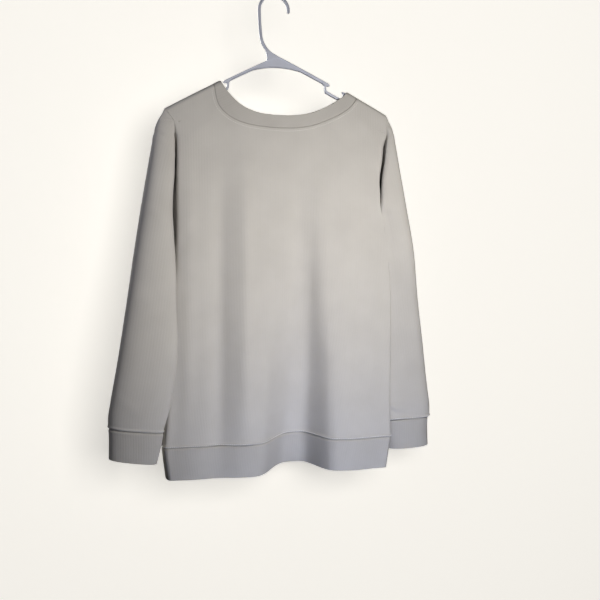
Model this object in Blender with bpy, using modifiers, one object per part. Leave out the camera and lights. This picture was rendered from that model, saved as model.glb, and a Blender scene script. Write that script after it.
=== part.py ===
"""A crewneck sweatshirt on a plastic hanger.

Units are metres, +Z is up.  The origin is the inner top of the hook, where a rail holds it.
The wearer would face +Y, so the back of the garment faces -Y and the left sleeve is at -X.

The body is two panels, back and front.  Each is a wall whose height field y(x, z) comes from how
far the cloth has fallen below the line of the hanger's arms, plus the folds in FOLDS.  A sleeve is
a stack of oval sections, open towards the body above the armpit and closed below it.
"""

import math
from collections import namedtuple

import bmesh
import bpy
from mathutils import Vector

# ---------------------------------------------------------------------------------------------
# Driving sizes
# ---------------------------------------------------------------------------------------------
CLOTH = 0.0020          # thickness of the fleece
RIB = 0.0024            # thickness of the doubled rib of neckband, cuffs and hem band
EDGE_GAP = 0.0005       # gap between two walls that meet edge to edge
CORNER_GAP = 0.0015     # body's side to the middle of the sleeve's wall at the shoulder corner
PLY_GAP = 0.0026        # the same where the two walls lie side by side

# The hanger
ROD_RADIUS = 0.0031         # hook wire
HOOK_RADIUS = 0.0270        # centre line of the hook
HANGER_X = 0.0057           # middle of the two arms
ARM_TILT = 0.0110           # rise of the whole hanger towards +X, per metre
ARM_TOP = -0.1043           # height of the arms where they meet
ARM_SLOPE = 0.465           # fall of an arm per metre at the middle
ARM_BEND = 0.18             # how much steeper it gets per metre
ARM_HEIGHT = 0.0062         # depth of the beam
PLATE = 0.0036              # half the moulding's thickness
PLATE_EDGE = 0.0008         # rounding of the moulding's edges
GROOVE = 0.0018             # depth of the groove in each face
FLANGE = 0.0014             # what the groove leaves at the top and bottom edge
GROOVE_REACH = 0.0850       # middle to the end of the groove
WEB_REACH = 0.0450          # middle to where the web runs out into the arm
WEB_DEPTH = 0.0212          # height of the web in the middle

# Outline of the strap notch and of the tip: distance from the middle, drop below the arm's top
ArmRow = namedtuple("ArmRow", "reach drop")
NOTCH = (
    ArmRow(0.0970, 0.0000),
    ArmRow(0.0990, 0.0020),
    ArmRow(0.0980, 0.0044),
    ArmRow(0.0930, 0.0064),
    ArmRow(0.0918, 0.0110),
    ArmRow(0.0937, 0.0146),
    ArmRow(0.1030, 0.0152),
    ArmRow(0.1120, 0.0152),
    ArmRow(0.1210, 0.0150),
    ArmRow(0.1240, 0.0120),
    ArmRow(0.1243, 0.0040),
    ArmRow(0.1226, 0.0014),
    ArmRow(0.1240, 0.0000),
)
TIP = (
    ArmRow(0.1926, 0.0004),
    ArmRow(0.1938, 0.0024),
    ArmRow(0.1930, 0.0056),
    ArmRow(0.1900, 0.0066),
    ArmRow(0.1640, 0.0082),
    ArmRow(0.1380, 0.0104),
    ArmRow(0.1290, 0.0180),
    ArmRow(0.1200, 0.0202),
    ArmRow(0.1050, 0.0204),
    ArmRow(0.0905, 0.0202),
    ArmRow(0.0885, 0.0160),
    ArmRow(0.0880, 0.0080),
    ArmRow(0.0850, 0.0062),
)
# Left side of the moulding where the hook leaves it, from the arm up
CollarPoint = namedtuple("CollarPoint", "x z")
COLLAR = (
    CollarPoint(-0.0135, -0.1138),
    CollarPoint(-0.0128, -0.1085),
    CollarPoint(-0.0139, -0.1020),
    CollarPoint(-0.0158, -0.0962),
    CollarPoint(-0.0108, -0.0942),
    CollarPoint(-0.0020, -0.1000),
)
COLLAR_START = 0.0010       # where the right arm's top line begins
ARM_STEPS = 9
GROOVE_STEPS = 14

# Centre line of the hook wire below its round part
STEM = (
    CollarPoint(-0.0060, -0.1010),
    CollarPoint(-0.0110, -0.0965),
    CollarPoint(-0.0165, -0.0900),
    CollarPoint(-0.0208, -0.0825),
    CollarPoint(-0.0236, -0.0740),
    CollarPoint(-0.0252, -0.0600),
    CollarPoint(-0.0264, -0.0420),
)
HOOK_STEPS = 14
HOOK_END = -4.0             # direction of the hook's last full section, in degrees
HOOK_TIP = -8.0             # direction of its rounded end
TIP_SHARE = 0.55            # radius of the rounded end as a share of the wire's

# The cloth over the arm
ARM_REST = 0.0014           # cloth above the crest of the arm
FOLD_OVER = 0.0080          # radius of the cloth over the arm
SHOULDER_RISE = ARM_REST + CLOTH / 2

# Heights of the garment
CORNER = -0.2060            # shoulder corner, over the hanger's tip
PIT_TOP = -0.2260           # where the pleat between body and sleeve begins
ARMPIT = -0.4550            # bottom of the armhole
HEM_SEAM = -0.8030          # body to hem band
HEM = -0.8605               # bottom of the hem band
CLOTH_LIFT = 0.078          # rise of the hem for each metre that a fold swings out
FOLD_SOFT = 0.0110          # a fold's corners are rounded over this much to each side
FOLD_OWN = 0.50             # weight of the fold itself in that rounding, the rest lies beside it

# Armhole
HOLE_BACK = 0.0040          # half opening of the armhole towards the back
HOLE_FRONT = 0.0095         # half opening of the armhole towards the front
HOLE_FADE = 0.0450          # height over which the opening closes at each end
SIDE_ROUND = 0.0160         # width of the turn at the body's sides
SIDE_POWER = 2.4            # squareness of that turn
PLEAT_LEAD = 0.0040         # the pleat beside the sleeve begins this much above PIT_TOP
PLEAT_RUN = 0.0500          # height over which it reaches its full depth

# Sleeve sections
SLEEVE_POWER = 2.3          # squareness of a section
TOP_REACH = 0.30            # how far a section turns at the shoulder corner, in half turns
SEAM_RUN = 0.0120           # height over which a column leaves the shoulder seam
SLOPE_REACH = 0.0040        # distance up and down over which the body side's slope is taken
CORNER_RUN = 0.0300         # height over which the walls turn to lie side by side
PIT_RUN = 0.0400            # height under the armpit over which the sleeve leaves the body
TWIST_RUN = 0.1200          # height under the armpit over which its seam turns to the inner side
CAP_POWER = 1.6             # how the tops of the columns are spread along the shoulder seam

# Body depth behind and before the line of the hanger
BACK_SPREAD = 0.046         # growth of depth per metre of fall, back panel
FRONT_SPREAD = 0.062        # the same, front panel
BACK_LIMIT = 0.0190         # greatest depth of the back panel without folds
FRONT_LIMIT = 0.0250        # greatest depth of the front panel without folds

# Mesh density
CREST_DROPS = (0.0, 0.0001, 0.0014, 0.0042, 0.0085, 0.0190)     # rows below the arm's crest
SIDE_STEPS = (0.0, 0.0008, 0.0040, 0.0090)      # columns close to the side of a panel
SHOULDER_BLOCK = 0.0360     # height of the block of rows beside the neckline, at the body's side
SHOULDER_COLUMNS = 5
PANEL_ROWS = 14
SLEEVE_COLUMNS = 22
SLEEVE_ROWS = 18
SLEEVE_ROW_POWER = 1.6      # rows lie closer at the top of a sleeve
PANEL_ROW_POWER = 1.15      # rows lie closer at the top of a panel
COLUMN_SETTLE = 1.2         # how soon a panel's columns take their places at the hem
HEM_SAMPLES = 400
SIDE_TRIES = 30             # steps towards the place where the side and a line below the arms cross
WELD = 0.00002              # points closer than this are one point
CUFF_ROWS = 3
HEM_ROWS = 3
NECK_ROWS = 3

# Body: height, x of the left side, x of the right side
BodyRow = namedtuple("BodyRow", "height left right")
BODY_ROWS = (
    BodyRow(-0.2040, -0.1985, 0.2110),
    BodyRow(-0.2120, -0.1935, 0.2125),
    BodyRow(-0.2260, -0.1835, 0.2125),
    BodyRow(-0.2430, -0.1795, 0.2125),
    BodyRow(-0.2700, -0.1800, 0.2085),
    BodyRow(-0.3200, -0.1820, 0.2035),
    BodyRow(-0.3650, -0.1830, 0.2050),
    BodyRow(-0.4550, -0.1815, 0.2110),
    BodyRow(-0.5450, -0.1865, 0.2170),
    BodyRow(-0.6350, -0.1925, 0.2190),
    BodyRow(-0.7300, -0.1990, 0.2210),
    BodyRow(-0.8030, -0.2050, 0.2230),
)

# Hem band: height, x of the left side, x of the right side
HEM_ROWS_TABLE = (
    BodyRow(-0.8030, -0.2050, 0.2230),
    BodyRow(-0.8200, -0.2035, 0.2200),
    BodyRow(-0.8605, -0.1985, 0.2140),
)

# Sleeve: height, x of the outer and the inner side, y of the middle, depth to back and to front
SleeveRow = namedtuple("SleeveRow", "height outer inner middle back front")
LEFT_SLEEVE = (
    SleeveRow(-0.2040, -0.2005, -0.1990, 0.0000, 0.0050, 0.0050),
    SleeveRow(-0.2120, -0.2030, -0.1960, 0.0000, 0.0088, 0.0090),
    SleeveRow(-0.2260, -0.2090, -0.1860, 0.0000, 0.0095, 0.0100),
    SleeveRow(-0.2430, -0.2145, -0.1830, 0.0010, 0.0130, 0.0140),
    SleeveRow(-0.2700, -0.2195, -0.1830, 0.0020, 0.0175, 0.0190),
    SleeveRow(-0.3200, -0.2285, -0.1850, 0.0020, 0.0225, 0.0240),
    SleeveRow(-0.3650, -0.2365, -0.1860, 0.0010, 0.0250, 0.0260),
    SleeveRow(-0.4550, -0.2520, -0.1850, -0.0040, 0.0270, 0.0290),
    SleeveRow(-0.5450, -0.2675, -0.1865, -0.0200, 0.0270, 0.0290),
    SleeveRow(-0.6350, -0.2835, -0.1870, -0.0330, 0.0260, 0.0270),
    SleeveRow(-0.7150, -0.2980, -0.1945, -0.0320, 0.0260, 0.0260),
    SleeveRow(-0.7420, -0.3020, -0.2010, -0.0300, 0.0260, 0.0260),
    SleeveRow(-0.7660, -0.3015, -0.2080, -0.0280, 0.0240, 0.0240),
)
RIGHT_SLEEVE = (
    SleeveRow(-0.2040, 0.2135, 0.2120, 0.0000, 0.0050, 0.0050),
    SleeveRow(-0.2120, 0.2170, 0.2140, 0.0000, 0.0088, 0.0090),
    SleeveRow(-0.2260, 0.2240, 0.2145, 0.0000, 0.0095, 0.0100),
    SleeveRow(-0.2430, 0.2290, 0.2145, 0.0010, 0.0130, 0.0140),
    SleeveRow(-0.2700, 0.2335, 0.2110, 0.0020, 0.0175, 0.0190),
    SleeveRow(-0.3200, 0.2420, 0.2060, 0.0030, 0.0225, 0.0240),
    SleeveRow(-0.3650, 0.2500, 0.2075, 0.0040, 0.0260, 0.0280),
    SleeveRow(-0.4550, 0.2680, 0.2140, 0.0080, 0.0290, 0.0300),
    SleeveRow(-0.5450, 0.2855, 0.2190, 0.0280, 0.0280, 0.0320),
    SleeveRow(-0.6350, 0.3005, 0.2170, 0.0370, 0.0280, 0.0320),
    SleeveRow(-0.7150, 0.3095, 0.2190, 0.0360, 0.0280, 0.0310),
    SleeveRow(-0.7500, 0.3140, 0.2190, 0.0350, 0.0290, 0.0300),
    SleeveRow(-0.7760, 0.3140, 0.2230, 0.0340, 0.0270, 0.0280),
)

# Cuffs, the same columns
LEFT_CUFF = (
    SleeveRow(-0.7660, -0.3010, -0.2085, -0.0280, 0.0235, 0.0235),
    SleeveRow(-0.7850, -0.3005, -0.2120, -0.0280, 0.0225, 0.0225),
    SleeveRow(-0.8200, -0.3010, -0.2205, -0.0270, 0.0215, 0.0215),
)
RIGHT_CUFF = (
    SleeveRow(-0.7760, 0.3130, 0.2240, 0.0340, 0.0265, 0.0275),
    SleeveRow(-0.7950, 0.3125, 0.2270, 0.0340, 0.0260, 0.0265),
    SleeveRow(-0.8320, 0.3135, 0.2330, 0.0330, 0.0250, 0.0250),
)
LEFT_TILT = 0.0060          # outer side of the left cuff above its middle
RIGHT_TILT = 0.0020         # outer side of the right cuff above its middle

# Neckline from the left shoulder to the right: seam to the panel, then the band's free edge.
# A height of None lies on the crest of the hanger's arm.
NeckRow = namedtuple("NeckRow", "seam_x seam_z edge_x edge_z")
BACK_NECK = (
    NeckRow(-0.1110, None, -0.0985, None),
    NeckRow(-0.1045, -0.1930, -0.0880, -0.1700),
    NeckRow(-0.0880, -0.2125, -0.0660, -0.1920),
    NeckRow(-0.0620, -0.2255, -0.0440, -0.2035),
    NeckRow(-0.0260, -0.2320, -0.0180, -0.2095),
    NeckRow(0.0200, -0.2340, 0.0210, -0.2110),
    NeckRow(0.0580, -0.2300, 0.0570, -0.2070),
    NeckRow(0.0870, -0.2215, 0.0830, -0.1985),
    NeckRow(0.1150, -0.2090, 0.1040, -0.1880),
    NeckRow(0.1400, -0.1935, 0.1235, -0.1760),
    NeckRow(0.1560, None, 0.1370, None),
)
FRONT_NECK = (
    NeckRow(-0.1110, None, -0.0985, None),
    NeckRow(-0.0985, -0.2280, -0.0770, -0.2120),
    NeckRow(-0.0800, -0.2560, -0.0620, -0.2370),
    NeckRow(-0.0560, -0.2750, -0.0420, -0.2545),
    NeckRow(-0.0220, -0.2865, -0.0150, -0.2640),
    NeckRow(0.0210, -0.2900, 0.0210, -0.2670),
    NeckRow(0.0630, -0.2865, 0.0560, -0.2640),
    NeckRow(0.0960, -0.2750, 0.0820, -0.2545),
    NeckRow(0.1210, -0.2560, 0.1030, -0.2370),
    NeckRow(0.1410, -0.2280, 0.1190, -0.2120),
    NeckRow(0.1560, None, 0.1370, None),
)
NECK_STEPS = 3              # columns of a panel for each row of the tables above

# Folds: x of the two feet and the two shoulders at the hem, swing towards +Y at the hem, the
# height where the fold begins, how its swing grows, and how far its left and right half stand
# to the side higher up.  The common folds move both panels, the others one.
Fold = namedtuple("Fold", "left_foot left_top right_top right_foot swing start growth left_in right_in")
COMMON_FOLDS = (
    Fold(-0.040, 0.038, 0.072, 0.104, 0.0740, -0.290, 1.45, 0.038, -0.010),
)
BACK_FOLDS = (
    Fold(-0.112, -0.066, -0.044, 0.004, -0.0100, -0.260, 0.80, 0.004, 0.010),
    Fold(-0.192, -0.160, -0.150, -0.104, -0.0040, -0.260, 0.80, 0.004, 0.004),
    Fold(0.100, 0.138, 0.150, 0.196, -0.0070, -0.280, 0.80, -0.008, -0.004),
)
FRONT_FOLDS = (
    Fold(-0.150, -0.120, -0.100, -0.050, 0.0140, -0.320, 0.90, 0.010, 0.010),
    Fold(0.105, 0.142, 0.152, 0.190, 0.0110, -0.340, 0.90, -0.004, -0.010),
    Fold(-0.060, -0.030, -0.016, 0.010, -0.0060, -0.400, 1.00, 0.004, 0.004),
)

CLOTH_COLOUR = (0.445, 0.418, 0.392, 1.0)
RIB_COLOUR = (0.430, 0.404, 0.380, 1.0)
PLASTIC_COLOUR = (0.420, 0.425, 0.470, 1.0)


# ---------------------------------------------------------------------------------------------
# Curves through the tables
# ---------------------------------------------------------------------------------------------
def smooth(value):
    """Ease from 0 to 1 as value goes from 0 to 1."""
    value = min(max(value, 0.0), 1.0)
    return value * value * (3.0 - 2.0 * value)


def blend(low, high, share):
    """Mix two numbers."""
    return low + (high - low) * share


def along(rows, column, height):
    """Value of a column at a height, on a smooth curve through rows that go down."""
    heights = [row.height for row in rows]
    values = [getattr(row, column) for row in rows]
    if height >= heights[0]:
        return values[0]
    if height <= heights[-1]:
        return values[-1]
    index = 0
    while height < heights[index + 1]:
        index += 1
    span = heights[index] - heights[index + 1]
    share = (heights[index] - height) / span
    before = max(index - 1, 0)
    after = min(index + 2, len(rows) - 1)
    step = values[index + 1] - values[index]
    slope_in = step
    if before < index:
        slope_in = (values[index + 1] - values[before]) / (heights[before] - heights[index + 1]) * span
    slope_out = step
    if after > index + 1:
        slope_out = (values[after] - values[index]) / (heights[index] - heights[after]) * span
    square = share * share
    cube = square * share
    return (values[index] * (2 * cube - 3 * square + 1) + slope_in * (cube - 2 * square + share)
            + values[index + 1] * (3 * square - 2 * cube) + slope_out * (cube - square))


def through(points, position):
    """Catmull-Rom point on a list of (x, z) at a fractional index."""
    last = len(points) - 1
    index = min(int(position), last - 1)
    share = position - index
    before = points[max(index - 1, 0)]
    start = points[index]
    end = points[index + 1]
    after = points[min(index + 2, last)]
    mixed = []
    for p0, p1, p2, p3 in zip(before, start, end, after):
        mixed.append(0.5 * (2 * p1 + (p2 - p0) * share + (2 * p0 - 5 * p1 + 4 * p2 - p3) * share ** 2
                            + (3 * p1 - p0 - 3 * p2 + p3) * share ** 3))
    return tuple(mixed)


# ---------------------------------------------------------------------------------------------
# Form of the cloth
# ---------------------------------------------------------------------------------------------
def arm_height(x):
    """Top of the hanger's arm at x."""
    reach = abs(x - HANGER_X)
    return ARM_TOP - reach * (ARM_SLOPE + ARM_BEND * reach) + ARM_TILT * (x - HANGER_X)


def shoulder_height(x):
    """Middle of the cloth's wall where it crosses the arm at x."""
    return arm_height(x) + SHOULDER_RISE


def over_arm(fall):
    """Distance of the cloth from the plane of the arms, for its fall below their crest."""
    if fall >= FOLD_OVER:
        return FOLD_OVER
    return math.sqrt(max(FOLD_OVER ** 2 - (FOLD_OVER - fall) ** 2, 0.0))


def fold_swing(fold, x, height):
    """Swing of one fold at a point of the cloth."""
    if height >= fold.start:
        return 0.0
    grown = min((fold.start - height) / (fold.start - HEM), 1.0)
    left_shift = fold.left_in * (1.0 - grown)
    right_shift = fold.right_in * (1.0 - grown)
    rise = smooth((x - fold.left_foot - left_shift) / (fold.left_top - fold.left_foot))
    drop = smooth((fold.right_foot + right_shift - x) / (fold.right_foot - fold.right_top))
    return fold.swing * grown ** fold.growth * min(rise, drop)


def swing(folds, x, height):
    """Sum of the swings of several folds, with their corners rounded."""
    total = 0.0
    for fold in folds:
        beside = fold_swing(fold, x - FOLD_SOFT, height) + fold_swing(fold, x + FOLD_SOFT, height)
        total += FOLD_OWN * fold_swing(fold, x, height) + (1.0 - FOLD_OWN) * beside / 2
    return total


def body_side(height, side):
    """x of the body's side, -1 for left and 1 for right, down to the hem."""
    rows = BODY_ROWS if height >= HEM_SEAM else HEM_ROWS_TABLE
    return along(rows, "left" if side < 0 else "right", height)


def side_turn(x, height):
    """0 at the body's side, 1 where the panel lies flat."""
    near = min(x - body_side(height, -1), body_side(height, 1) - x)
    share = min(max(near / SIDE_ROUND, 0.0), 1.0)
    return (1.0 - (1.0 - share) ** SIDE_POWER) ** (1.0 / SIDE_POWER)


def hole(height):
    """How far the armhole stands open at a height, from 0 to 1."""
    if height <= ARMPIT or height >= CORNER:
        return 0.0
    return smooth((height - ARMPIT) / HOLE_FADE)


def pleat(height):
    """How deep the pleat beside the sleeve is, from 0 at the shoulder to 1."""
    return smooth((PIT_TOP + PLEAT_LEAD - height) / PLEAT_RUN)


def open_depth(x, height, back):
    """Depth of a panel away from its sides, as a distance from the plane of the arms."""
    fall = max(shoulder_height(x) - height, 0.0)
    spread = BACK_SPREAD if back else FRONT_SPREAD
    limit = BACK_LIMIT if back else FRONT_LIMIT
    free = limit - FOLD_OVER
    grown = spread * max(fall - FOLD_OVER, 0.0)
    return over_arm(fall) + free * (1.0 - math.exp(-grown / free))


def edge_depth(x, height, back):
    """Depth of a panel at its side, as a distance from the plane of the arms."""
    flat = open_depth(x, height, back)
    opening = HOLE_BACK if back else HOLE_FRONT
    deep = EDGE_GAP / 2 + opening * hole(height)
    return max(blend(flat, min(deep, flat), pleat(height)), EDGE_GAP / 2)


def panel_y(x, height, back):
    """y of the middle of a panel's wall."""
    side = -1 if x < HANGER_X else 1
    edge = edge_depth(body_side(height, side), height, back)
    turn = side_turn(x, height)
    depth = blend(edge, open_depth(x, height, back), turn)
    own = swing(BACK_FOLDS if back else FRONT_FOLDS, x, height)
    moved = (swing(COMMON_FOLDS, x, height) + own) * turn
    return moved - max(depth, EDGE_GAP / 2) if back else moved + max(depth, EDGE_GAP / 2)


def hem_lift(x):
    """Rise of the hem where the folds swing the cloth out."""
    return CLOTH_LIFT * swing(COMMON_FOLDS, x, HEM)


# ---------------------------------------------------------------------------------------------
# Neckline
# ---------------------------------------------------------------------------------------------
def neck_point(x, height):
    """A point of the neck table, with None put on the arm."""
    return (x, shoulder_height(x) if height is None else height)


def place_of(points, drop, low, high):
    """Fractional index between two rows where a neckline has fallen by a drop below its end."""
    wanted = points[round(low)][1] - drop
    for _ in range(30):
        middle = (low + high) / 2
        if through(points, middle)[1] > wanted:
            low = middle
        else:
            high = middle
    return (low + high) / 2


def neck_stations(rows):
    """Matching points of seam and free edge, from the left shoulder to the right."""
    seams = [neck_point(row.seam_x, row.seam_z) for row in rows]
    edges = [neck_point(row.edge_x, row.edge_z) for row in rows]
    last = len(rows) - 1
    mirrored = seams[::-1]
    places = [place_of(seams, drop, 0, 1) for drop in CREST_DROPS]
    places[0] = 0.0
    for index in range(NECK_STEPS * (last - 2) + 1):
        places.append(1 + index / NECK_STEPS)
    right = [last - place_of(mirrored, drop, 0, 1) for drop in reversed(CREST_DROPS)]
    right[-1] = float(last)
    return [(through(seams, place), through(edges, place)) for place in places + right]


# ---------------------------------------------------------------------------------------------
# Meshes
# ---------------------------------------------------------------------------------------------
def material(name, colour, roughness):
    """A plain Principled material."""
    made = bpy.data.materials.new(name)
    made.use_nodes = True
    shader = made.node_tree.nodes["Principled BSDF"]
    shader.inputs["Base Color"].default_value = colour
    shader.inputs["Roughness"].default_value = roughness
    return made


def sheet(name, grid, ring, flip, thickness, look):
    """A wall whose middle is a grid of points: rows of equal length, with None where it is open."""
    mesh = bpy.data.meshes.new(name)
    shape = bmesh.new()
    rows = [[None if point is None else shape.verts.new(point) for point in row] for row in grid]
    columns = len(grid[0])
    for upper, lower in zip(rows, rows[1:]):
        for index in range(columns if ring else columns - 1):
            after = (index + 1) % columns
            corners = [upper[index], upper[after], lower[after], lower[index]]
            if None in corners:
                continue
            if flip:
                corners.reverse()
            shape.faces.new(corners)
    bmesh.ops.remove_doubles(shape, verts=shape.verts, dist=WELD)
    shape.to_mesh(mesh)
    shape.free()
    made = bpy.data.objects.new(name, mesh)
    garment.objects.link(made)
    mesh.shade_smooth()
    mesh.materials.append(look)
    wall = made.modifiers.new("Wall", 'SOLIDIFY')
    wall.thickness = thickness
    wall.offset = 0.0
    wall.use_even_offset = True
    return made


def hem_shares(count, back):
    """Shares of the flat width at the hem that cut the cloth there into equal lengths."""
    left = body_side(HEM_SEAM, -1) + SIDE_ROUND
    right = body_side(HEM_SEAM, 1) - SIDE_ROUND
    lengths = [0.0]
    previous = None
    for index in range(HEM_SAMPLES + 1):
        x = blend(left, right, index / HEM_SAMPLES)
        point = Vector((x, panel_y(x, HEM_SEAM, back)))
        if previous is not None:
            lengths.append(lengths[-1] + (point - previous).length)
        previous = point
    shares = []
    place = 0
    for index in range(count):
        wanted = lengths[-1] * index / (count - 1)
        while place < HEM_SAMPLES - 1 and lengths[place + 1] < wanted:
            place += 1
        rest = (wanted - lengths[place]) / (lengths[place + 1] - lengths[place])
        shares.append(min((place + rest) / HEM_SAMPLES, 1.0))
    return shares


def side_below(drop, side):
    """x at which the body's side lies a drop below the crest of the arms."""
    x = body_side(CORNER, side)
    for _ in range(SIDE_TRIES):
        x = body_side(shoulder_height(x) - drop, side)
    return x


def shoulder_block(neck, side):
    """Rows of points between the body's side and the steep part of the neckline."""
    stations = [seam for seam, edge in neck_stations(neck)]
    count = len(CREST_DROPS) + 1
    seam = stations[:count] if side < 0 else stations[-count:][::-1]
    drops = CREST_DROPS + (SHOULDER_BLOCK,)
    block = []
    for (seam_x, seam_z), drop in zip(seam, drops):
        seam_fall = shoulder_height(seam_x) - seam_z
        start = side_below(drop, side)
        row = []
        for distance in SIDE_STEPS:
            x = start - side * distance
            row.append((x, shoulder_height(x) - drop))
        start -= side * SIDE_ROUND
        for index in range(SHOULDER_COLUMNS + 1):
            share = index / SHOULDER_COLUMNS
            x = blend(start, seam_x, share)
            row.append((x, shoulder_height(x) - blend(drop, seam_fall, share ** 2)))
        block.append(row)
    return block


def panel_place(x, height):
    """Share of the flat width at a point of a panel."""
    left = body_side(height, -1) + SIDE_ROUND
    right = body_side(height, 1) - SIDE_ROUND
    return (x - left) / (right - left)


def lower_point(top, share_hem, step, down):
    """A point of a column that hangs from a point of the block's last row."""
    x_hem = blend(body_side(HEM_SEAM, -1) + SIDE_ROUND, body_side(HEM_SEAM, 1) - SIDE_ROUND, share_hem)
    if step is not None:
        x_hem = body_side(HEM_SEAM, step[0]) - step[0] * step[1]
    height = blend(top[1], HEM_SEAM + EDGE_GAP / 2 + hem_lift(x_hem), down)
    if step is not None:
        return body_side(height, step[0]) - step[0] * step[1], height
    share = blend(panel_place(*top), share_hem, smooth(down * COLUMN_SETTLE))
    left = body_side(height, -1) + SIDE_ROUND
    right = body_side(height, 1) - SIDE_ROUND
    return blend(left, right, share), height


def panel_grid(neck, back):
    """Rows of (x, height) of a panel, open at the neckline."""
    left = shoulder_block(neck, -1)
    right = [row[::-1] for row in shoulder_block(neck, 1)]
    stations = [seam for seam, edge in neck_stations(neck)]
    count = len(CREST_DROPS) + 1
    middle = stations[count:-count]
    grid = [left_row + [None] * len(middle) + right_row for left_row, right_row in zip(left, right)]
    grid[-1] = left[-1] + middle + right[-1]
    tops = grid[-1]
    sides = len(SIDE_STEPS)
    shares = hem_shares(len(tops) - 2 * sides, back)
    for row in range(1, PANEL_ROWS):
        down = (row / (PANEL_ROWS - 1)) ** PANEL_ROW_POWER
        line = []
        for index, top in enumerate(tops):
            step = None
            share = 0.0
            if index < sides:
                step = (-1, SIDE_STEPS[index])
            elif index >= len(tops) - sides:
                step = (1, SIDE_STEPS[len(tops) - 1 - index])
            else:
                share = shares[index - sides]
            line.append(lower_point(top, share, step, down))
        grid.append(line)
    return grid


def panel(name, neck, back, look):
    """Front or back of the body."""
    grid = []
    for row in panel_grid(neck, back):
        line = []
        for point in row:
            if point is None:
                line.append(None)
            else:
                line.append(Vector((point[0], panel_y(point[0], point[1], back), point[1])))
        grid.append(line)
    return sheet(name, grid, False, not back, CLOTH, look)


def around(share, exponent):
    """Point of a superellipse: 0 is the outer side, 0.5 the back, 1 the inner side, 1.5 the front."""
    angle = math.pi * share
    cosine = math.cos(angle)
    sine = math.sin(angle)
    power = 2.0 / exponent
    return math.copysign(abs(cosine) ** power, cosine), math.copysign(abs(sine) ** power, sine)


def seam_share(offset, back, front):
    """Share around the sleeve at which its inner half has a distance from the middle."""
    depth = back if offset < 0.0 else front
    ratio = min(abs(offset) / depth, 1.0)
    slant = math.asin(ratio ** (SLEEVE_POWER / 2.0)) / math.pi
    return 1.0 - slant if offset < 0.0 else 1.0 + slant


def sleeve_seam_x(rows, height, side):
    """x of the sleeve's edge beside the body, or of its inner side under the armpit."""
    inner = along(rows, "inner", height)
    above = body_side(height + SLOPE_REACH, side)
    below = body_side(height - SLOPE_REACH, side)
    slope = (above - below) / (2 * SLOPE_REACH)
    step = blend(CORNER_GAP, PLY_GAP, smooth((CORNER - height) / CORNER_RUN)) * math.hypot(1.0, slope)
    beside = body_side(height, side) + side * step
    return blend(beside, inner, smooth((ARMPIT - height) / PIT_RUN))


def sleeve_point(rows, side, height, turn, front):
    """Point on a sleeve: turn is 0 at the outer side and 1 at the seam beside the body."""
    outer = along(rows, "outer", height)
    middle = along(rows, "middle", height)
    back_depth = along(rows, "back", height)
    front_depth = along(rows, "front", height)
    seam = sleeve_seam_x(rows, height, side)
    edge = edge_depth(body_side(height, side), height, not front)
    if height > PIT_TOP:
        reach = blend(TOP_REACH, 0.5, smooth((CORNER - height) / (CORNER - PIT_TOP)))
        back_depth = edge / around(reach, SLEEVE_POWER)[1]
        front_depth = back_depth
    elif height > ARMPIT:
        back_depth = max(back_depth, edge + middle)
        front_depth = max(front_depth, edge - middle)
        offset = edge - middle if front else -edge - middle
        reach = seam_share(offset, back_depth, front_depth)
    else:
        offset = -middle * (1.0 - smooth((ARMPIT - height) / TWIST_RUN))
        reach = seam_share(offset, back_depth, front_depth)
    if front and height <= PIT_TOP:
        reach = 2.0 - reach
    cosine, sine = around(reach * turn, SLEEVE_POWER)
    width = (seam - outer) / (1.0 - around(reach, SLEEVE_POWER)[0])
    x = outer + width * (1.0 - cosine)
    towards_back = (sine >= 0.0) != front
    y = middle - back_depth * abs(sine) if towards_back else middle + front_depth * abs(sine)
    return x, y


def sleeve(name, rows, side, tilt, look):
    """A sleeve from the shoulder corner to its cuff."""
    bottom = rows[-1].height + EDGE_GAP / 2
    crest = shoulder_height(body_side(CORNER, side)) - EDGE_GAP / 2
    half = SLEEVE_COLUMNS // 2
    places = [((half - index) / half, False) for index in range(half)] + [(0.0, False)]
    places += [((index + 1) / half, True) for index in range(half)]
    grid = []
    for row in range(SLEEVE_ROWS):
        down = row / (SLEEVE_ROWS - 1)
        line = []
        for place, front in places:
            top = crest - (crest - PIT_TOP) * place ** CAP_POWER
            slant = tilt * math.cos(math.pi * place)
            height = blend(top, bottom + slant, down ** SLEEVE_ROW_POWER)
            near = math.exp(-(top - height) / SEAM_RUN)
            turn = blend(place, 1.0, near)
            x, y = sleeve_point(rows, side, height, turn, front)
            line.append(Vector((x, y, height)))
        grid.append(line)
    return sheet(name, grid, False, side > 0, CLOTH, look)


def cuff(name, rows, side, tilt, look):
    """The ribbed ring at the end of a sleeve."""
    top = rows[0].height - EDGE_GAP / 2
    grid = []
    for row in range(CUFF_ROWS):
        down = row / (CUFF_ROWS - 1)
        height = blend(top, rows[-1].height, down)
        line = []
        for index in range(SLEEVE_COLUMNS):
            cosine, sine = around(2.0 * index / SLEEVE_COLUMNS, SLEEVE_POWER)
            outer = along(rows, "outer", height)
            inner = along(rows, "inner", height)
            depth = along(rows, "back" if sine > 0.0 else "front", height)
            x = outer + (inner - outer) * (1.0 - cosine) / 2.0
            y = along(rows, "middle", height) - depth * sine
            line.append(Vector((x, y, height + tilt * cosine)))
        grid.append(line)
    return sheet(name, grid, True, side < 0, RIB, look)


def hem_band(name, look):
    """The ribbed ring under the body."""
    back = hem_columns(True)
    front = hem_columns(False)
    grid = []
    for row in range(HEM_ROWS):
        down = row / (HEM_ROWS - 1)
        height = blend(HEM_SEAM - EDGE_GAP / 2, HEM, down)
        line = [hem_point(column, height, True) for column in back]
        line += [hem_point(column, height, False) for column in reversed(front[1:-1])]
        line[0].y = 0.0
        line[len(back) - 1].y = 0.0
        grid.append(line)
    return sheet(name, grid, True, False, RIB, look)


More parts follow.
